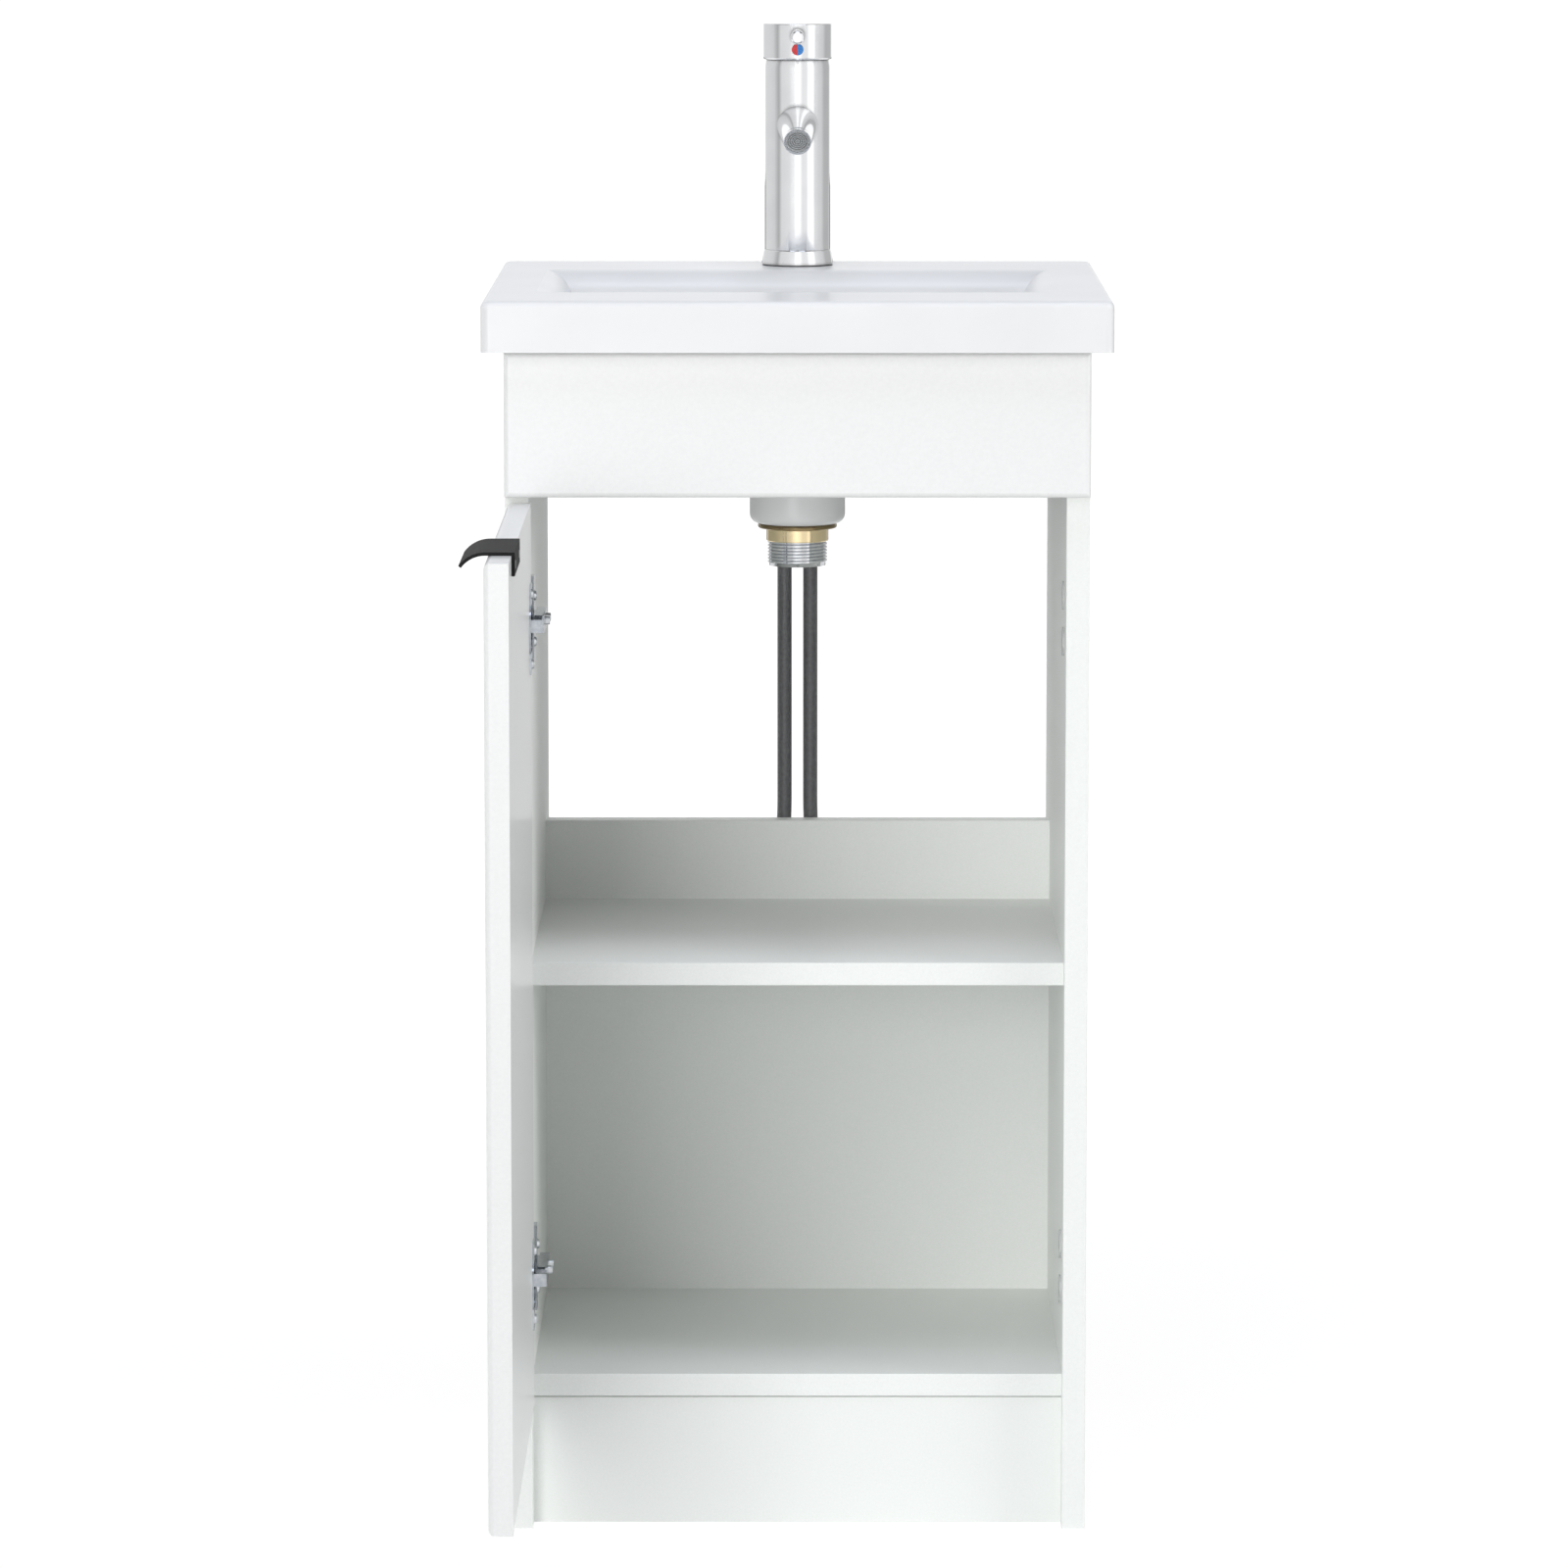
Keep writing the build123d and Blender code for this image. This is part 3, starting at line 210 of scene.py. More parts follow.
# %% Powder coat
powder, tree, shader, where = surface("matt_black_powder_coat", "#0e0e0f", Roughness=0.62,
                                      Specular_IOR_Level=0.2)
mottle(tree, shader, where, size_mm=0.9, dark="#0b0b0c", light="#121213", depth_mm=0.05)
finishes["black_pull"] = powder
print("metals", sorted(finishes))

# %% [markdown]
# ## Rubber, plastics, timber and the colour dot
# The small pieces are moulded: black rubber seals, an ivory plastic cartridge and pale grey caps. The
# dowels are raw beech. All of them get the same fine mottle in two near shades, so one table lists them.
# The dot under the lever is enamel, red for hot on one half and blue for cold on the other, so its colour
# switches where the Object X coordinate changes sign.

# %% Moulded materials
moulded = {
    "rubber": ("black_nitrile_rubber", "#1b1b1b", "#232323", 0.6),
    "hose": ("smooth_black_hose_sleeve", "#5c5c5e", "#69696b", 0.36),
    "aerator_plastic": ("grey_acetal_insert", "#a3a5a6", "#afb1b2", 0.4),
    "cartridge_plastic": ("ivory_acetal", "#d5d2c6", "#dedbd0", 0.4),
    "cap_plastic": ("pale_grey_polythene", "#b9bbba", "#c6c8c7", 0.45),
    "beech": ("raw_beech", "#b98f62", "#cba678", 0.65),
}
for slot_name, (name, dark, light, roughness) in moulded.items():
    material, tree, shader, where = surface(name, light, Roughness=roughness)
    mottle(tree, shader, where, size_mm=2.5, dark=dark, light=light, depth_mm=0.01)
    finishes[slot_name] = material

hot_red, cold_blue = "#d0262c", "#1f7fd0"
enamel, tree, shader, where = surface("red_and_blue_enamel", hot_red, Roughness=0.15)
split = add(tree, "ShaderNodeSeparateXYZ", {"Vector": where})
cold_side = add(tree, "ShaderNodeMath", {0: split.outputs["X"], 1: 0.0}, operation="GREATER_THAN")
halves = add(tree, "ShaderNodeMix", {"Factor": cold_side.outputs["Value"]}, data_type="RGBA")
halves.inputs["A"].default_value = linear(hot_red)
halves.inputs["B"].default_value = linear(cold_blue)
tree.links.new(halves.outputs["Result"], shader.inputs["Base Color"])
finishes["dot_enamel"] = enamel
print("moulded", sorted(moulded), enamel.name)

# %% Give every CAD node its finish
slot_of = {row["node"]: row["material_slot"] for row in frame["record"]["subparts"]}
for name, piece in nodes.items():
    piece.data.materials.clear()
    piece.data.materials.append(finishes[slot_of[name]])
print("finished nodes", len(slot_of), "with", len(finishes), "finishes")

# %% [markdown]
# ## Camera
# The cabinet was photographed from about five metres, a little above the basin, with a long lens. The
# camera looks down by under eight degrees and has no lens shift.

# %% Camera
camera_data = bpy.data.cameras.new("camera")
camera = bpy.data.objects.new("camera", camera_data)
bpy.context.scene.collection.objects.link(camera)
camera_data.sensor_width = 36.0
camera_data.lens = 172.3
camera_data.clip_end = 120.0
camera.location = (0.0, -5.138, 1.2147)
aim = Vector((-0.0092, -0.028, 0.5232))
camera.rotation_euler = (aim - camera.location).to_track_quat("-Z", "Y").to_euler()
bpy.context.scene.camera = camera
print("camera distance", round((aim - camera.location).length, 3))

# %% [markdown]
# ## Making pieces
# A new piece starts as a bmesh, which is closed into an object here. Doubles are merged first, so that
# the normals can be made to agree over the whole skin. Then the piece is told which body it moves with.
# Anything made on a lathe is a profile spun round its axis, so one more function does that. A piece that
# stands in for a CAD node takes its place from that node's box, where the box tells it.

# %% Piece helpers
def new_piece(name, data, body, slot_name):
    """Link an object that rides on a body and takes a slot's finish."""
    piece = bpy.data.objects.new(name, data)
    bpy.context.scene.collection.objects.link(piece)
    data.materials.append(finishes[slot_name])
    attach(piece, body)
    return piece


def mesh_piece(name, bm, body, slot_name, sharp_angle=32):
    """Close a bmesh into an object with outward normals, smooth except across sharp edges."""
    bmesh.ops.remove_doubles(bm, verts=bm.verts, dist=1e-7)
    bmesh.ops.recalc_face_normals(bm, faces=bm.faces)
    data = bpy.data.meshes.new(name)
    bm.to_mesh(data)
    bm.free()
    for face in data.polygons:
        face.use_smooth = True
    data.set_sharp_from_angle(angle=math.radians(sharp_angle))
    return new_piece(name, data, body, slot_name)


def verts_of(geometry):
    """The vertices in an operator's result."""
    return [item for item in geometry if isinstance(item, bmesh.types.BMVert)]


def edges_of(geometry):
    """The edges in an operator's result."""
    return [item for item in geometry if isinstance(item, bmesh.types.BMEdge)]


def foot_of(node):
    """The middle of the underside of a CAD node's box, in mm."""
    low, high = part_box(node)
    return Vector(((low.x + high.x) / 2, (low.y + high.y) / 2, low.z)) / MM


def turned(bm, profile, centre, axis, steps=48):
    """Spin a run of (radius, height) points in mm about an axis through a centre in mm."""
    along = Vector(axis).normalized()
    across = along.orthogonal().normalized()
    base = Vector(centre) * MM
    verts = [bm.verts.new(base + across * (r * MM) + along * (h * MM)) for r, h in profile]
    edges = [bm.edges.new((verts[i], verts[i + 1])) for i in range(len(verts) - 1)]
    bmesh.ops.spin(bm, geom=verts + edges, cent=base, axis=along, angle=2 * math.pi, steps=steps,
                   use_merge=True)


print("piece helpers ready")

# %% [markdown]
# ## Hose ends
# A press crimps a steel ferrule on to each end of a hose and leaves two grooves in it. At the top a nipple
# goes on into the tap. At the far end, behind the back panel, a half-inch nut waits for the water pipe.
# The ferrules are turned. The nut starts as a cone with six sides and no taper, loses its lower cap, and
# is bridged there to a round mouth that is pushed up into a bore.

# %% Ferrules and nipples
hose_sides = {"hot": -1, "cold": 1}
hose_offset_mm, hose_y_mm, hose_top_mm = 9.4, 323.0, 821.0
upright = (0.0, 0.0, 1.0)
ferrule = [(0.0, 0.0), (5.5, 0.0), (6.0, 0.2), (6.2, 0.7), (6.2, 4.2), (5.75, 4.8), (5.75, 7.0), (6.2, 7.6),
           (6.2, 12.4), (5.75, 13.0), (5.75, 15.2), (6.2, 15.8), (6.2, 23.3), (6.0, 23.8), (5.5, 24.0)]
nipple = [(4.0, 24.0), (4.0, 36.6), (3.4, 37.2), (3.4, 39.2), (4.0, 39.8), (4.0, 48.3), (3.4, 48.95),
          (0.0, 48.95)]
for temperature, side in hose_sides.items():
    bm = bmesh.new()
    turned(bm, ferrule + nipple, (side * hose_offset_mm, hose_y_mm, hose_top_mm), upright)
    end = mesh_piece(f"{temperature}_crimped_nipple", bm, "carcass", slot_of[f"{temperature}_hose_nipple"])
    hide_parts(f"{temperature}_hose_nipple")
    print(end.name, "faces", len(end.data.polygons))

# %% Nuts
nut_height_mm, nut_flats_mm, nut_chamfer_mm = 20.0, 24.0, 1.1
nut_bore_mm, nut_bore_depth_mm = 9.3, 13.0
for temperature in hose_sides:
    nut_foot_mm = foot_of(f"{temperature}_hose_nut")
    place = nut_foot_mm * MM
    bm = bmesh.new()
    corner_radius = nut_flats_mm / 2 / math.cos(math.radians(30)) * MM
    bmesh.ops.create_cone(bm, cap_ends=True, segments=6, radius1=corner_radius, radius2=corner_radius,
                          depth=nut_height_mm * MM)
    bmesh.ops.translate(bm, vec=place + Vector((0.0, 0.0, nut_height_mm * MM / 2)), verts=bm.verts)
    ends = [face for face in bm.faces if abs(face.normal.z) > 0.9]
    bmesh.ops.bevel(bm, geom=[edge for face in ends for edge in face.edges], offset=nut_chamfer_mm * MM,
                    offset_type="OFFSET", affect="EDGES", segments=3, profile=0.5, material=-1)
    lower = min(bm.faces, key=lambda face: face.calc_center_median().z)
    rim = list(lower.edges)
    bmesh.ops.delete(bm, geom=[lower], context="FACES_ONLY")
    mouth = bmesh.ops.create_circle(bm, cap_ends=False, segments=36, radius=nut_bore_mm * MM)["verts"]
    bmesh.ops.translate(bm, vec=place, verts=mouth)
    mouth_edges = list({edge for vert in mouth for edge in vert.link_edges})
    bmesh.ops.bridge_loops(bm, edges=rim + mouth_edges)
    bore = bmesh.ops.extrude_edge_only(bm, edges=mouth_edges)["geom"]
    bmesh.ops.translate(bm, vec=(0.0, 0.0, nut_bore_depth_mm * MM), verts=verts_of(bore))
    bmesh.ops.edgeloop_fill(bm, edges=edges_of(bore))
    turned(bm, ferrule + [(0.0, 24.0)], nut_foot_mm + Vector((0.0, 0.0, nut_height_mm)), upright)
    nut = mesh_piece(f"{temperature}_half_inch_nut", bm, "carcass", slot_of[f"{temperature}_hose_nut"])
    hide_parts(f"{temperature}_hose_nut")
    print(nut.name, "faces", len(nut.data.polygons))

# %% [markdown]
# ## Tap hoses
# Two flexible tails hang from the tap. Each leaves its ferrule straight down, and near the end they
# spread a little so that their nuts can turn. A NURBS curve led by a few control points hangs
# like a real hose, and a round bevel gives it its thickness.

# %% Hoses
hose_diameter = 10.5 * MM
nut_offset_mm = 16.0
hose_y = hose_y_mm * MM
for temperature, side in hose_sides.items():
    near_x = side * hose_offset_mm * MM
    far_x = side * nut_offset_mm * MM
    route = [
        (near_x, hose_y, hose_top_mm * MM),
        (near_x, hose_y, 495.4 * MM),
        (near_x, hose_y, 440.0 * MM),
        (far_x, hose_y, 385.0 * MM),
        (far_x, hose_y, 340.0 * MM),
    ]
    curve = bpy.data.curves.new(f"{temperature}_hose_line", "CURVE")
    curve.dimensions = "3D"
    curve.bevel_depth = hose_diameter / 2
    curve.bevel_resolution = 10
    curve.resolution_u = 24
    curve.use_fill_caps = True
    line = curve.splines.new("NURBS")
    line.points.add(len(route) - 1)
    for point, place in zip(line.points, route):
        point.co = (*place, 1.0)
    line.order_u = 3
    line.use_endpoint_u = True
    hose = new_piece(f"{temperature}_hose_tube", curve, "carcass", "hose")
    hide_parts(f"{temperature}_hose")
    print(hose.name, "points", len(route))

# %% [markdown]
# ## The thread on the waste tail
# The tail carries a pipe thread with eleven turns to the inch. A helix is a profile that climbs as it
# spins, and the spin operator takes that climb as a shift for each step. A thread is cut into its tail, so
# a copy of the waste body has its tail turned down to the thread's root first. Then the flat-topped ridge
# is wound round it, up into the nut.

# %% Turned-down tail
thread_pitch = 25.4 / 11 * MM
root_radius = 19.9 * MM
crest_radius = 20.9 * MM
tail_radius = 20.95 * MM
height_slack, radius_slack = 0.1 * MM, 0.2 * MM
bm = bmesh.new()
bm.from_mesh(nodes["waste_body"].data)
bmesh.ops.remove_doubles(bm, verts=bm.verts, dist=1e-6)
tail_axis = Vector((waste_x, waste_y, 0.0))
outside = [vert for vert in bm.verts if vert.co.z < nut_low.z + height_slack
           and (vert.co.xy - tail_axis.xy).length > tail_radius - radius_slack]
shrink = root_radius / tail_radius
bmesh.ops.scale(bm, vec=(shrink, shrink, 1.0), space=Matrix.Translation(-tail_axis), verts=outside)
waste = mesh_piece("threaded_waste_body", bm, "carcass", slot_of["waste_body"])
waste.data.materials[0] = plated_tail
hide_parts("waste_body")
print("tail vertices turned down", len(outside))

# %% Thread
plain_end, hidden_run = 0.6 * MM, 0.4 * MM
thread_bottom = waste_low.z + plain_end
thread_top = nut_low.z + hidden_run
turns = (thread_top - thread_bottom) / thread_pitch
steps_per_turn = 64
steps = round(turns * steps_per_turn)
sunk_radius = root_radius - 0.05 * MM
ridge_run = [(sunk_radius, 0.0), (crest_radius, 0.2), (crest_radius, 0.66), (sunk_radius, 0.86)]
bm = bmesh.new()
ridge = bm.faces.new([bm.verts.new((waste_x + radius, waste_y, thread_bottom + thread_pitch * share))
                      for radius, share in ridge_run])
bmesh.ops.spin(bm, geom=[ridge], cent=(waste_x, waste_y, 0.0), axis=upright,
               dvec=(0.0, 0.0, thread_pitch / steps_per_turn), angle=steps / steps_per_turn * 2 * math.pi,
               steps=steps, use_duplicate=False)
thread = mesh_piece("waste_thread", bm, "carcass", slot_of["waste_body"], sharp_angle=20)
thread.data.materials[0] = plated_tail
print("thread turns", round(turns, 2), "faces", len(thread.data.polygons))

# %% [markdown]
# ## Cross-recess screws
# Two screws hold each hinge cup, two each plate and two the pull, and two more adjust each arm. A head is
# a short frustum with a rounded rim. Its top cap is taken off and bridged to a cross of twelve corners.
# That leaves a hole in the shape of the cross, which is pushed in and floored. One finished screw is then
# copied to every place, each turned by a different amount, as a screwdriver leaves them.

# %% Screw helper
shank_radius_mm, head_round_mm = 2.4, 0.45
cross_reach, cross_half, cross_taper, cross_depth = 0.74, 0.2, 0.7, 0.42
first_turn, turn_step = 12, 37
facing_weight = 0.1


def cap_facing(bm, direction):
    """The face that looks along a direction and lies furthest that way."""
    def score(face):
        return (face.calc_center_median() + facing_weight * face.normal).dot(direction)
    return max(bm.faces, key=score)


def screw_set(name, places, body, stands_for, radius, top_radius, height, shank_length):
    """Screws that face +X. Each place is the middle of a head's underside, in mm like every size."""
    up = Vector(upright)
    bm = bmesh.new()
    bmesh.ops.create_cone(bm, cap_ends=True, segments=24, radius1=radius * MM, radius2=top_radius * MM,
                          depth=height * MM)
    bmesh.ops.translate(bm, vec=(0.0, 0.0, height * MM / 2), verts=bm.verts)
    bmesh.ops.bevel(bm, geom=list(cap_facing(bm, up).edges), offset=head_round_mm * MM, offset_type="OFFSET",
                    affect="EDGES", segments=3, profile=0.5, material=-1)
    cap = cap_facing(bm, up)
    rim = list(cap.edges)
    bmesh.ops.delete(bm, geom=[cap], context="FACES_ONLY")
    arm = cross_reach * top_radius * MM
    half = cross_half * top_radius * MM
    one_arm = ((arm, -half), (arm, half), (half, half))
    corners = []
    for quarter in range(4):
        turn = Matrix.Rotation(math.radians(90 * quarter), 3, "Z")
        corners += [bm.verts.new(turn @ Vector((x, y, height * MM))) for x, y in one_arm]
    cross = [bm.edges.new((corners[i - 1], corners[i])) for i in range(len(corners))]
    bmesh.ops.bridge_loops(bm, edges=rim + cross)
    pushed = bmesh.ops.extrude_edge_only(bm, edges=cross)["geom"]
    floor_verts = verts_of(pushed)
    bmesh.ops.scale(bm, vec=(cross_taper, cross_taper, 1.0), verts=floor_verts)
    bmesh.ops.translate(bm, vec=(0.0, 0.0, -cross_depth * radius * MM), verts=floor_verts)
    bmesh.ops.edgeloop_fill(bm, edges=edges_of(pushed))
    under = cap_facing(bm, -up)
    bmesh.ops.inset_individual(bm, faces=[under], thickness=(radius - shank_radius_mm) * MM)
    shank = bmesh.ops.extrude_face_region(bm, geom=[under])["geom"]
    bmesh.ops.delete(bm, geom=[under], context="FACES_ONLY")
    bmesh.ops.translate(bm, vec=(0.0, 0.0, -shank_length * MM), verts=verts_of(shank))
    on_side = Matrix.Rotation(math.radians(90), 3, "Y")
    bmesh.ops.rotate(bm, cent=(0.0, 0.0, 0.0), matrix=on_side, verts=bm.verts)
    pattern = bm.verts[:] + bm.edges[:] + bm.faces[:]
    for count, place in enumerate(places):
        copy = bmesh.ops.duplicate(bm, geom=pattern)["geom"]
        verts = verts_of(copy)
        as_driven = Matrix.Rotation(math.radians(first_turn + turn_step * count), 3, "X")
        bmesh.ops.rotate(bm, cent=(0.0, 0.0, 0.0), matrix=as_driven, verts=verts)
        bmesh.ops.translate(bm, vec=Vector(place) * MM, verts=verts)
    bmesh.ops.delete(bm, geom=verts_of(pattern), context="VERTS")
    piece = mesh_piece(name, bm, body, "steel")
    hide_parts(stands_for)
    print(name, "screws", len(places), "faces", len(piece.data.polygons))


print("screw helper ready")

# %% Screws
hinge_screw = {"radius": 3.6, "top_radius": 2.9, "height": 1.6, "shank_length": 11.0}
adjuster = {"radius": 3.0, "top_radius": 2.8, "height": 3.0, "shank_length": 10.0}
pull_screw = {**hinge_screw, "top_radius": 2.7}
hinge_heights = []
for level in ("lower", "upper"):
    cup_low, cup_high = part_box(f"{level}_hinge_cup")
    hinge_heights.append((cup_low.z + cup_high.z) / 2 / MM)
cup_places = [(-181.1, -55.3, z + step) for z in hinge_heights for step in (-24, 24)]
plate_places = [(-181.5, 9.0, z + step) for z in hinge_heights for step in (-16, 16)]
adjuster_places = [(-173.4, y, z) for z in hinge_heights for y in (-3, 18)]
pull_places = [(-181.5, -336.4 + step, 710.9) for step in (-32, 32)]
screw_set("cup_screw_heads", cup_places, "door", "hinge_cup_screws", **hinge_screw)
screw_set("plate_screw_heads", plate_places, "carcass", "hinge_plate_screws", **hinge_screw)
screw_set("adjuster_screw_heads", adjuster_places, "carcass", "hinge_adjusters", **adjuster)
screw_set("pull_screw_heads", pull_places, "door", "pull_screws", **pull_screw)

# %% [markdown]
# ## The pull
# The pull is one strip of steel, folded over the door's top edge and rolled down into a finger lip. The
# fold is drawn from the side as a line: a tab inside the door, a flat run over it, and an arc that the spin
# operator sweeps. Pulled out along the door it becomes a sheet, a Solidify modifier gives it the gauge of
# the steel, and a Bevel modifier breaks its edges as tumbling does.

# %% Pull
pull_gauge = 2.2 * MM
tab_height, flat_run, tip_length = 14.3 * MM, 18.0 * MM, 1.5 * MM
lip_radius, lip_turn = 20.0 * MM, math.radians(50)
pull_low, pull_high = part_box("door_pull")
pull_start = pull_low.y
pull_length = pull_high.y - pull_low.y
pull_top = pull_high.z - pull_gauge / 2
tab_x = pull_high.x - pull_gauge / 2
lip_x = tab_x - flat_run
bm = bmesh.new()
foot = bm.verts.new((tab_x, pull_start, pull_top - tab_height))
fold = bm.verts.new((tab_x, pull_start, pull_top))
lip_start = bm.verts.new((lip_x, pull_start, pull_top))
bm.edges.new((foot, fold))
bm.edges.new((fold, lip_start))
arc_centre = Vector((lip_x, 0.0, pull_top - lip_radius))
swept = bmesh.ops.spin(bm, geom=[lip_start], cent=arc_centre, axis=(0.0, 1.0, 0.0), angle=-lip_turn,
                       steps=14)
lip_end = verts_of(swept["geom_last"])[0]
tip = bmesh.ops.extrude_vert_indiv(bm, verts=[lip_end])["verts"][0]
tip_run = Vector((-math.cos(lip_turn), 0.0, -math.sin(lip_turn))) * tip_length
bmesh.ops.translate(bm, vec=tip_run, verts=[tip])
drawn = bmesh.ops.extrude_edge_only(bm, edges=bm.edges[:])["geom"]
bmesh.ops.translate(bm, vec=(0.0, pull_length, 0.0), verts=verts_of(drawn))
pull = mesh_piece("pull_strip", bm, "door", "black_pull")
gauge = pull.modifiers.new("gauge", "SOLIDIFY")
gauge.thickness = pull_gauge
gauge.offset = 0.0
gauge.use_even_offset = True
broken_edge = pull.modifiers.new("broken_edge", "BEVEL")
broken_edge.width = 0.35 * MM
broken_edge.segments = 3
broken_edge.limit_method = "ANGLE"
broken_edge.angle_limit = math.radians(40)
broken_edge.harden_normals = True
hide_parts("door_pull")
print("pull strip", len(pull.data.polygons), "faces before its gauge")

# %% [markdown]
# ## Turned rings
# A flared ring hides the joint between the tap and the basin. Its slope makes it mirror the room instead
# of the basin, so it looks brighter than the tap above it. The ring sits raised, so the black edge of a
# gasket
# shows under it: that black line is partly a real rubber edge and partly painted contact shadow. Below
# the basin, the waste's brass nut has a flange with a fully rounded rim. All three are closed profiles,
# spun once round.

# %% Base ring and back nut
base_ring = [(23.85, 0.7), (25.7, 0.7), (25.9, 0.9), (25.85, 1.8), (24.6, 10.2), (24.4, 10.9), (24.1, 11.4),
             (23.85, 11.5), (23.85, 0.7)]
gasket_shadow_lip = [(23.85, 0.0), (25.5, 0.0), (25.5, 0.7), (23.85, 0.7), (23.85, 0.0)]
bm = bmesh.new()
turned(bm, base_ring, foot_of("tap_base_ring"), upright, steps=96)
ring = mesh_piece("flared_base_ring", bm, "carcass", slot_of["tap_base_ring"])
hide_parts("tap_base_ring")
# The black gasket edge under the raised ring is partly a real rubber edge and partly painted contact shadow.
bm = bmesh.new()
turned(bm, gasket_shadow_lip, foot_of("tap_base_ring"), upright, steps=96)
lip = mesh_piece("base_gasket_shadow_lip", bm, "carcass", "rubber")

flange_nut = [(21.15, 0.0), (21.5, 0.0), (21.95, 0.5), (21.95, 8.3), (22.4, 9.0), (26.2, 9.0), (27.1, 9.2),
              (27.7, 9.7), (28.0, 10.7), (27.8, 11.6), (27.2, 12.3), (26.3, 12.5), (21.15, 12.5),
              (21.15, 0.0)]
bm = bmesh.new()
turned(bm, flange_nut, foot_of("waste_back_nut"), upright, steps=96)
back_nut = mesh_piece("rounded_flange_nut", bm, "carcass", slot_of["waste_back_nut"])
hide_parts("waste_back_nut")
print("rings", ring.name, lip.name, back_nut.name)

# %% [markdown]
# ## Aerator
# The spout's mouth holds a moulded insert that mixes air into the water. Its face has ring-shaped slots
# round a small boss. The whole face is one profile, turned about the spout's tilted axis.

# %% Aerator
face_tilt = math.radians(28)
aerator_face = (0.0, 214.58, 951.47)
aerator_out = (0.0, -math.cos(face_tilt), -math.sin(face_tilt))
first_slot_mm, slot_step_mm, slot_count = 1.6, 1.55, 4
slot_width_mm, slot_draft_mm = 0.95, 0.1
rib_mm, slot_floor_mm = -0.5, -1.5
slots = [(0.0, -1.1), (0.9, -1.1), (1.0, rib_mm)]
for count in range(slot_count):
    inner = first_slot_mm + slot_step_mm * count
    outer = inner + slot_width_mm
    slots += [(inner, rib_mm), (inner + slot_draft_mm, slot_floor_mm)]
    slots += [(outer - slot_draft_mm, slot_floor_mm), (outer, rib_mm)]
slots += [(7.8, rib_mm), (8.1, -0.1), (8.6, -0.1), (8.7, -0.3), (8.7, -5.7), (0.0, -5.7)]
bm = bmesh.new()
turned(bm, slots, aerator_face, aerator_out)
aerator = mesh_piece("aerator_rings", bm, "carcass", "aerator_plastic")
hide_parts("aerator")
print("aerator faces", len(aerator.data.polygons))

# %% [markdown]
# ## Pressed hinges
# Hinge parts are stamped from sheet, so no edge is sharp: each one catches a thin line of light. The CAD
# solids have sharp edges. A copy of each is merged into one skin, its flat faces are joined up, and a
# Bevel modifier rolls the edges over. The copy stands in for its node.

# %% Hinge pressings
edge_roll = 0.28 * MM
for level in ("lower", "upper"):
    for part, body in (("cup", "door"), ("arm", "carcass"), ("plate", "carcass")):
        node = f"{level}_hinge_{part}"
        bm = bmesh.new()
        bm.from_mesh(nodes[node].data)
        bmesh.ops.remove_doubles(bm, verts=bm.verts, dist=1e-6)
        bmesh.ops.dissolve_limit(bm, angle_limit=math.radians(1.0), verts=bm.verts, edges=bm.edges)
        pressing = mesh_piece(f"{level}_pressed_{part}", bm, body, "hinge_nickel")
        roll = pressing.modifiers.new("edge_roll", "BEVEL")
        roll.width = edge_roll
        roll.segments = 2
        roll.limit_method = "ANGLE"
        roll.angle_limit = math.radians(40)
        roll.harden_normals = True
        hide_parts(node)
        print(pressing.name, "faces", len(pressing.data.polygons))

# %% [markdown]
# ## Studio
# The floor and the room are plain and pale. The world is white to the camera and to reflections, and
# a quieter grey to diffuse light, so that white boards stay just under white. The floor does the same: near
# the cabinet it is mostly glow with a share of matt paint, which keeps the shadow, and far away all glow.

# %% World
scene = bpy.context.scene
scene.view_settings.view_transform = "Standard"
world = bpy.data.worlds.new("studio")
scene.world = world
world.use_nodes = True
tree = world.node_tree
tree.nodes.clear()


def seen_directly(tree):
    """1 for camera, mirror and glass rays, 0 for diffuse light."""
    path = add(tree, "ShaderNodeLightPath")
    mirror = add(tree, "ShaderNodeMath", {0: path.outputs["Is Camera Ray"], 1: path.outputs["Is Glossy Ray"]},
                 operation="MAXIMUM")
    both = add(tree, "ShaderNodeMath", {0: mirror.outputs["Value"], 1: path.outputs["Is Transmission Ray"]},
               operation="MAXIMUM")
    return both.outputs["Value"]


ambient = 0.30
room_light = add(tree, "ShaderNodeBackground", {"Color": linear("#f4f6f8"), "Strength": ambient})
white_room = add(tree, "ShaderNodeBackground", {"Color": linear("#ffffff"), "Strength": 1.0})
either = add(tree, "ShaderNodeMixShader", {0: seen_directly(tree), 1: room_light.outputs["Background"],
                                           2: white_room.outputs["Background"]})
add(tree, "ShaderNodeOutputWorld", {"Surface": either.outputs["Shader"]})
print("world ambient", ambient)

# %% Stage helpers
def stage_object(name, bm, material):
    """Close a bmesh into an object that belongs to the stage and not to the cabinet."""
    data = bpy.data.meshes.new(name)
    bm.to_mesh(data)
    bm.free()
    data.materials.append(material)
    prop = bpy.data.objects.new(name, data)
    scene.collection.objects.link(prop)
    return prop


def bare_material(name):
    """A material with an empty tree. Returns both."""
    material = bpy.data.materials.new(name)
    material.use_nodes = True
    material.node_tree.nodes.clear()
    return material, material.node_tree


print("stage helpers ready")

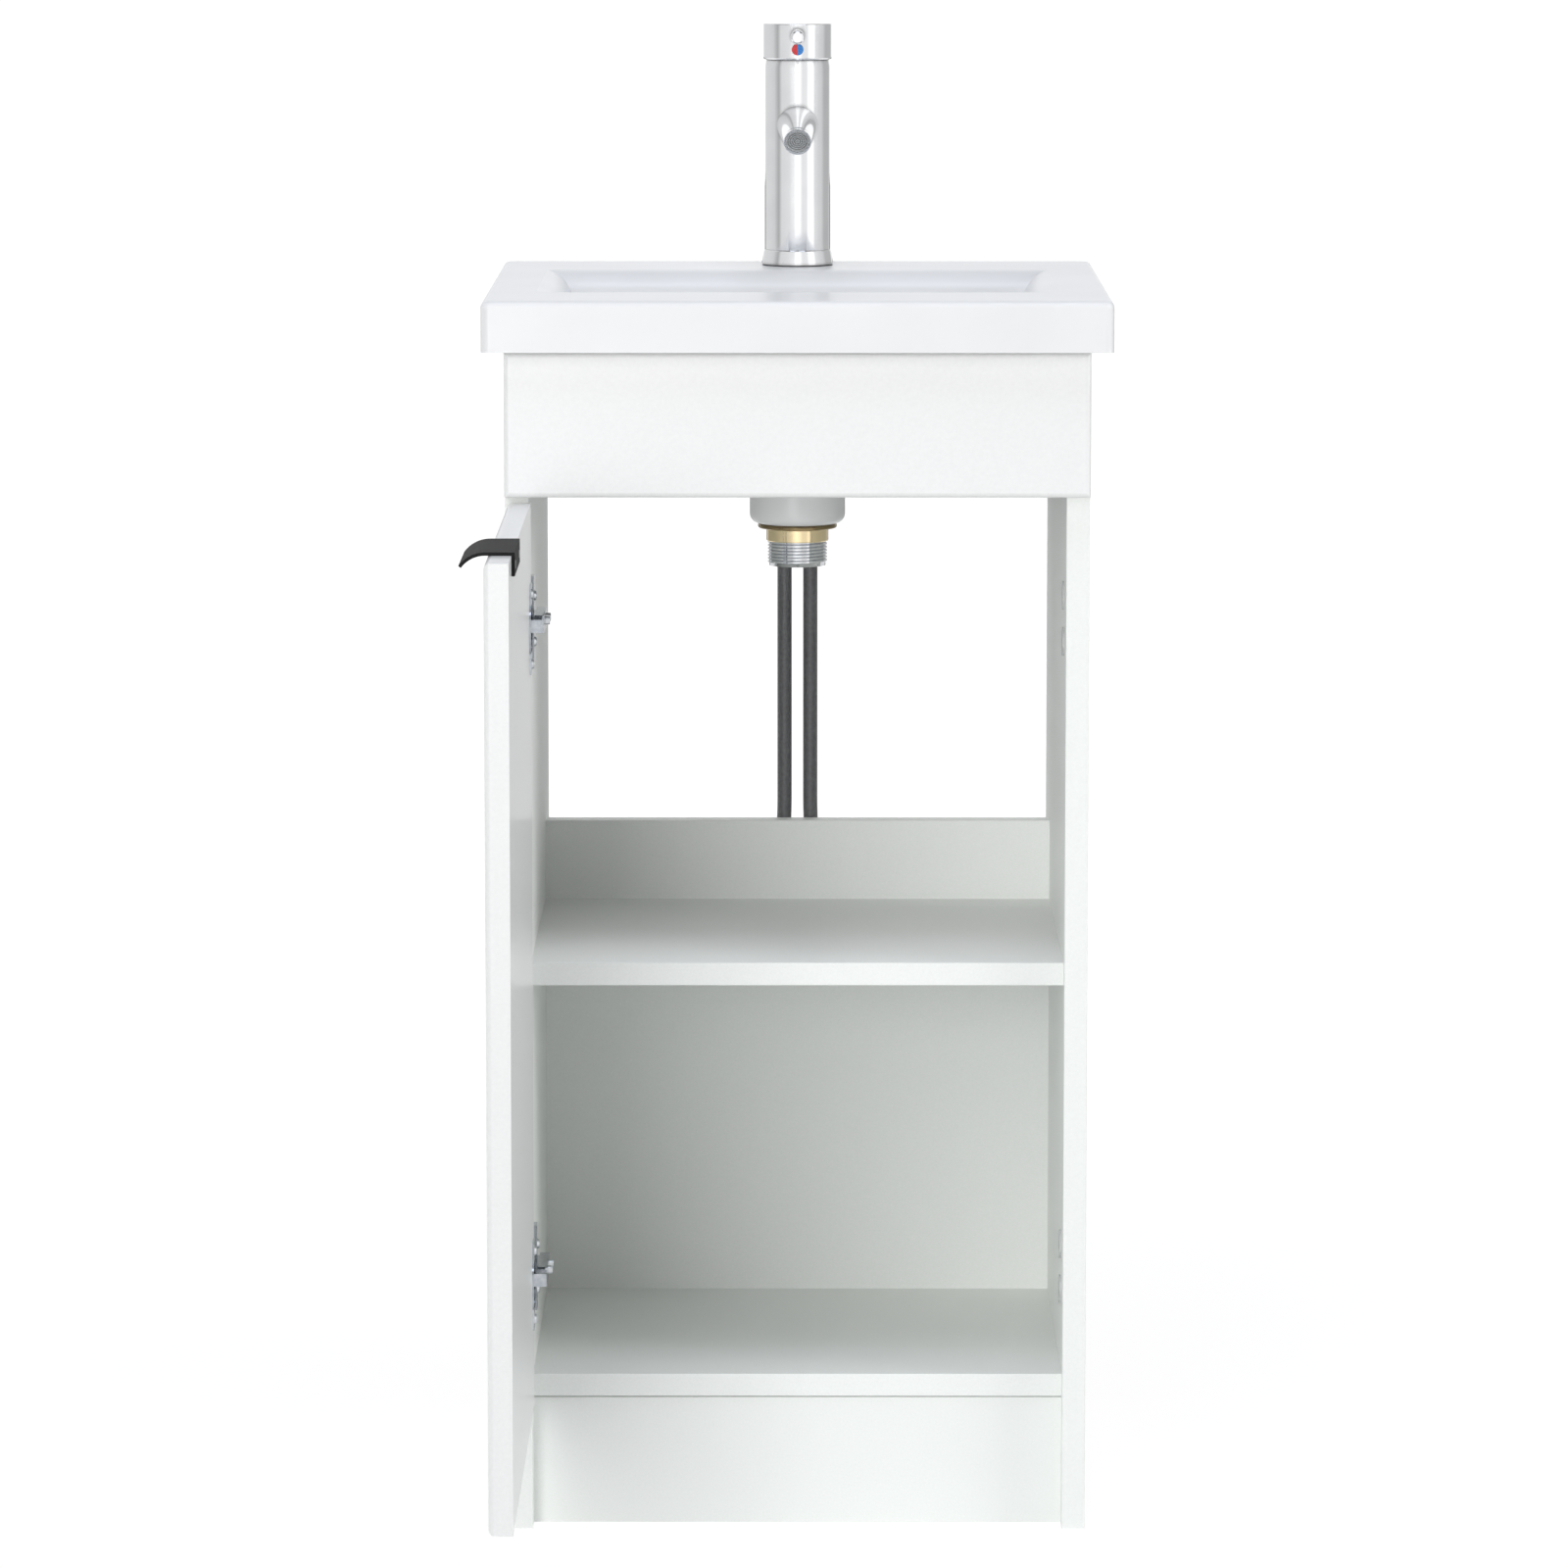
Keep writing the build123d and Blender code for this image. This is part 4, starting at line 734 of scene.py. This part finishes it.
# %% Floor
paint, tree = bare_material("pale_floor_paint")
matt = add(tree, "ShaderNodeBsdfDiffuse", {"Color": linear("#f2f2f0")})
glow = add(tree, "ShaderNodeEmission", {"Color": linear("#ffffff"), "Strength": 1.08})
middle = add(tree, "ShaderNodeTexCoord").outputs["Object"]
reach = add(tree, "ShaderNodeVectorMath", {0: middle}, operation="LENGTH")
fade = add(tree, "ShaderNodeMapRange", {"Value": reach.outputs["Value"], "From Min": 0.7, "From Max": 2.6,
                                        "To Min": 0.84, "To Max": 1.0}, interpolation_type="SMOOTHSTEP")
share = add(tree, "ShaderNodeMath", {0: seen_directly(tree), 1: fade.outputs["Result"]}, operation="MULTIPLY")
blended = add(tree, "ShaderNodeMixShader", {0: share.outputs["Value"], 1: matt.outputs["BSDF"],
                                            2: glow.outputs["Emission"]})
add(tree, "ShaderNodeOutputMaterial", {"Surface": blended.outputs["Shader"]})
bm = bmesh.new()
bmesh.ops.create_grid(bm, x_segments=1, y_segments=1, size=60.0)
floor = stage_object("floor", bm, paint)
print("stage", floor.name, floor.active_material.name)

# %% [markdown]
# ## Lamps
# Big, far softboxes give soft shadows. The key stands on the left, so the open door shades the left half of
# the inside. The high one adds the shade under the shelf, the right one lights the door's inner face, and a
# faintly blue one overhead lights the basin. Two more fill the back and the left side.

# %% Softboxes
def softbox(name, place, aim_at, width, height, power, colour="#ffffff"):
    """A rectangular area lamp that faces a point. Sizes in metres, power in watts."""
    lamp = bpy.data.lights.new(name, "AREA")
    lamp.shape = "RECTANGLE"
    lamp.size = width
    lamp.size_y = height
    lamp.energy = power
    lamp.color = linear(colour)[:3]
    holder = bpy.data.objects.new(name, lamp)
    scene.collection.objects.link(holder)
    holder.location = place
    holder.rotation_euler = (Vector(aim_at) - Vector(place)).to_track_quat("-Z", "Y").to_euler()


softbox("key_softbox", (-1.5, -5.6, 1.1), (0.0, 0.0, 0.5), 2.0, 2.0, 99.0)
softbox("high_softbox", (-1.6, -4.6, 3.2), (0.0, 0.0, 0.5), 2.0, 2.0, 46.0)
softbox("right_softbox", (4.2, -1.4, 1.4), (0.0, -0.1, 0.5), 1.4, 2.0, 58.0)
softbox("top_softbox", (0.0, -0.6, 3.4), (0.0, 0.1, 0.8), 2.0, 1.6, 32.0, "#e9f0ff")
softbox("back_softbox", (0.6, 5.0, 1.3), (0.0, 0.3, 0.5), 2.4, 2.0, 42.0)
softbox("left_softbox", (-4.0, 1.0, 1.3), (0.0, 0.1, 0.5), 2.0, 2.0, 24.0)

# %% [markdown]
# ## Light tent
# Polished chrome has no colour of its own: it shows the room. A tap in an all-white room looks like
# white paint, so photographers stand grey and white cards round it. One open drum does the work of all
# the cards. Only mirror reflections see it, and its grey changes with the direction round the cabinet.

# %% Light tent
def only_in_mirrors(prop):
    """Hide a stage object from everything but glossy reflections."""
    prop.visible_camera = False
    prop.visible_diffuse = False
    prop.visible_shadow = False
    prop.visible_transmission = False


card, tree = bare_material("tent_cards")
spot = add(tree, "ShaderNodeTexCoord").outputs["Object"]
parts = add(tree, "ShaderNodeSeparateXYZ", {"Vector": spot})
toward = add(tree, "ShaderNodeMath", {0: parts.outputs["Y"], 1: -1.0}, operation="MULTIPLY")
bearing = add(tree, "ShaderNodeMath", {0: parts.outputs["X"], 1: toward.outputs["Value"]},
              operation="ARCTAN2")
turn = add(tree, "ShaderNodeMath", {0: bearing.outputs["Value"], 1: 1 / (2 * math.pi), 2: 0.5},
           operation="MULTIPLY_ADD")
greys = add(tree, "ShaderNodeValToRGB", {"Fac": turn.outputs["Value"]})
card_stops = [
    (-180, 0.92), (-166, 0.86), (-152, 0.62), (-122, 0.60), (-95, 0.55), (-76, 0.36), (-64, 0.62),
    (-30, 0.68), (-14, 0.72), (-6, 1.0), (8, 1.0), (20, 0.72), (36, 0.74), (44, 1.0), (62, 1.0), (70, 0.62),
    (100, 0.56), (114, 0.40), (146, 0.40), (160, 0.86),
]
stops = greys.color_ramp.elements
while len(stops) < len(card_stops):
    stops.new(0.5)
for stop, (angle, grey) in zip(stops, card_stops):
    stop.position = angle / 360 + 0.5
    stop.color = (grey, grey, grey, 1.0)
shine = add(tree, "ShaderNodeEmission", {"Color": greys.outputs["Color"], "Strength": 1.2})
add(tree, "ShaderNodeOutputMaterial", {"Surface": shine.outputs["Emission"]})

tent_radius = 2.7
tent_height = 3.4
bm = bmesh.new()
bmesh.ops.create_cone(bm, cap_ends=False, segments=96, radius1=tent_radius, radius2=tent_radius,
                      depth=tent_height)
bmesh.ops.translate(bm, vec=(0.0, 0.0, tent_height / 2), verts=bm.verts)
tent = stage_object("light_tent", bm, card)
only_in_mirrors(tent)
print(tent.name, "stops", len(card_stops))

# %% [markdown]
# ## Dark cards
# Bright metal needs something dark to show its edges. A grey card lies over the tent. Two more stand low
# behind the cabinet, with a lighter one between them. Again only mirror reflections see them.

# %% Dark cards
cards = {
    "card_over_tent": (0.22, (0.0, 0.0, tent_height), (tent_radius, tent_radius), 0.0),
    "card_behind_left": (0.22, (-0.68, 2.4, 0.4), (0.43, 0.4), 90.0),
    "card_behind_right": (0.22, (0.68, 2.4, 0.4), (0.43, 0.4), 90.0),
    "card_behind_middle": (0.7, (0.0, 2.4, 0.4), (0.25, 0.4), 90.0),
}
for name, (grey, place, half_sizes, tilt) in cards.items():
    slate, tree = bare_material(f"{name}_paper")
    dim = add(tree, "ShaderNodeEmission", {"Color": linear("#ffffff"), "Strength": grey})
    add(tree, "ShaderNodeOutputMaterial", {"Surface": dim.outputs["Emission"]})
    bm = bmesh.new()
    bmesh.ops.create_grid(bm, x_segments=1, y_segments=1, size=1.0)
    bmesh.ops.scale(bm, vec=(*half_sizes, 1.0), verts=bm.verts)
    tipped = Matrix.Rotation(math.radians(tilt), 3, "X")
    bmesh.ops.rotate(bm, cent=(0.0, 0.0, 0.0), matrix=tipped, verts=bm.verts)
    bmesh.ops.translate(bm, vec=place, verts=bm.verts)
    only_in_mirrors(stage_object(name, bm, slate))
print("cards", len(cards))
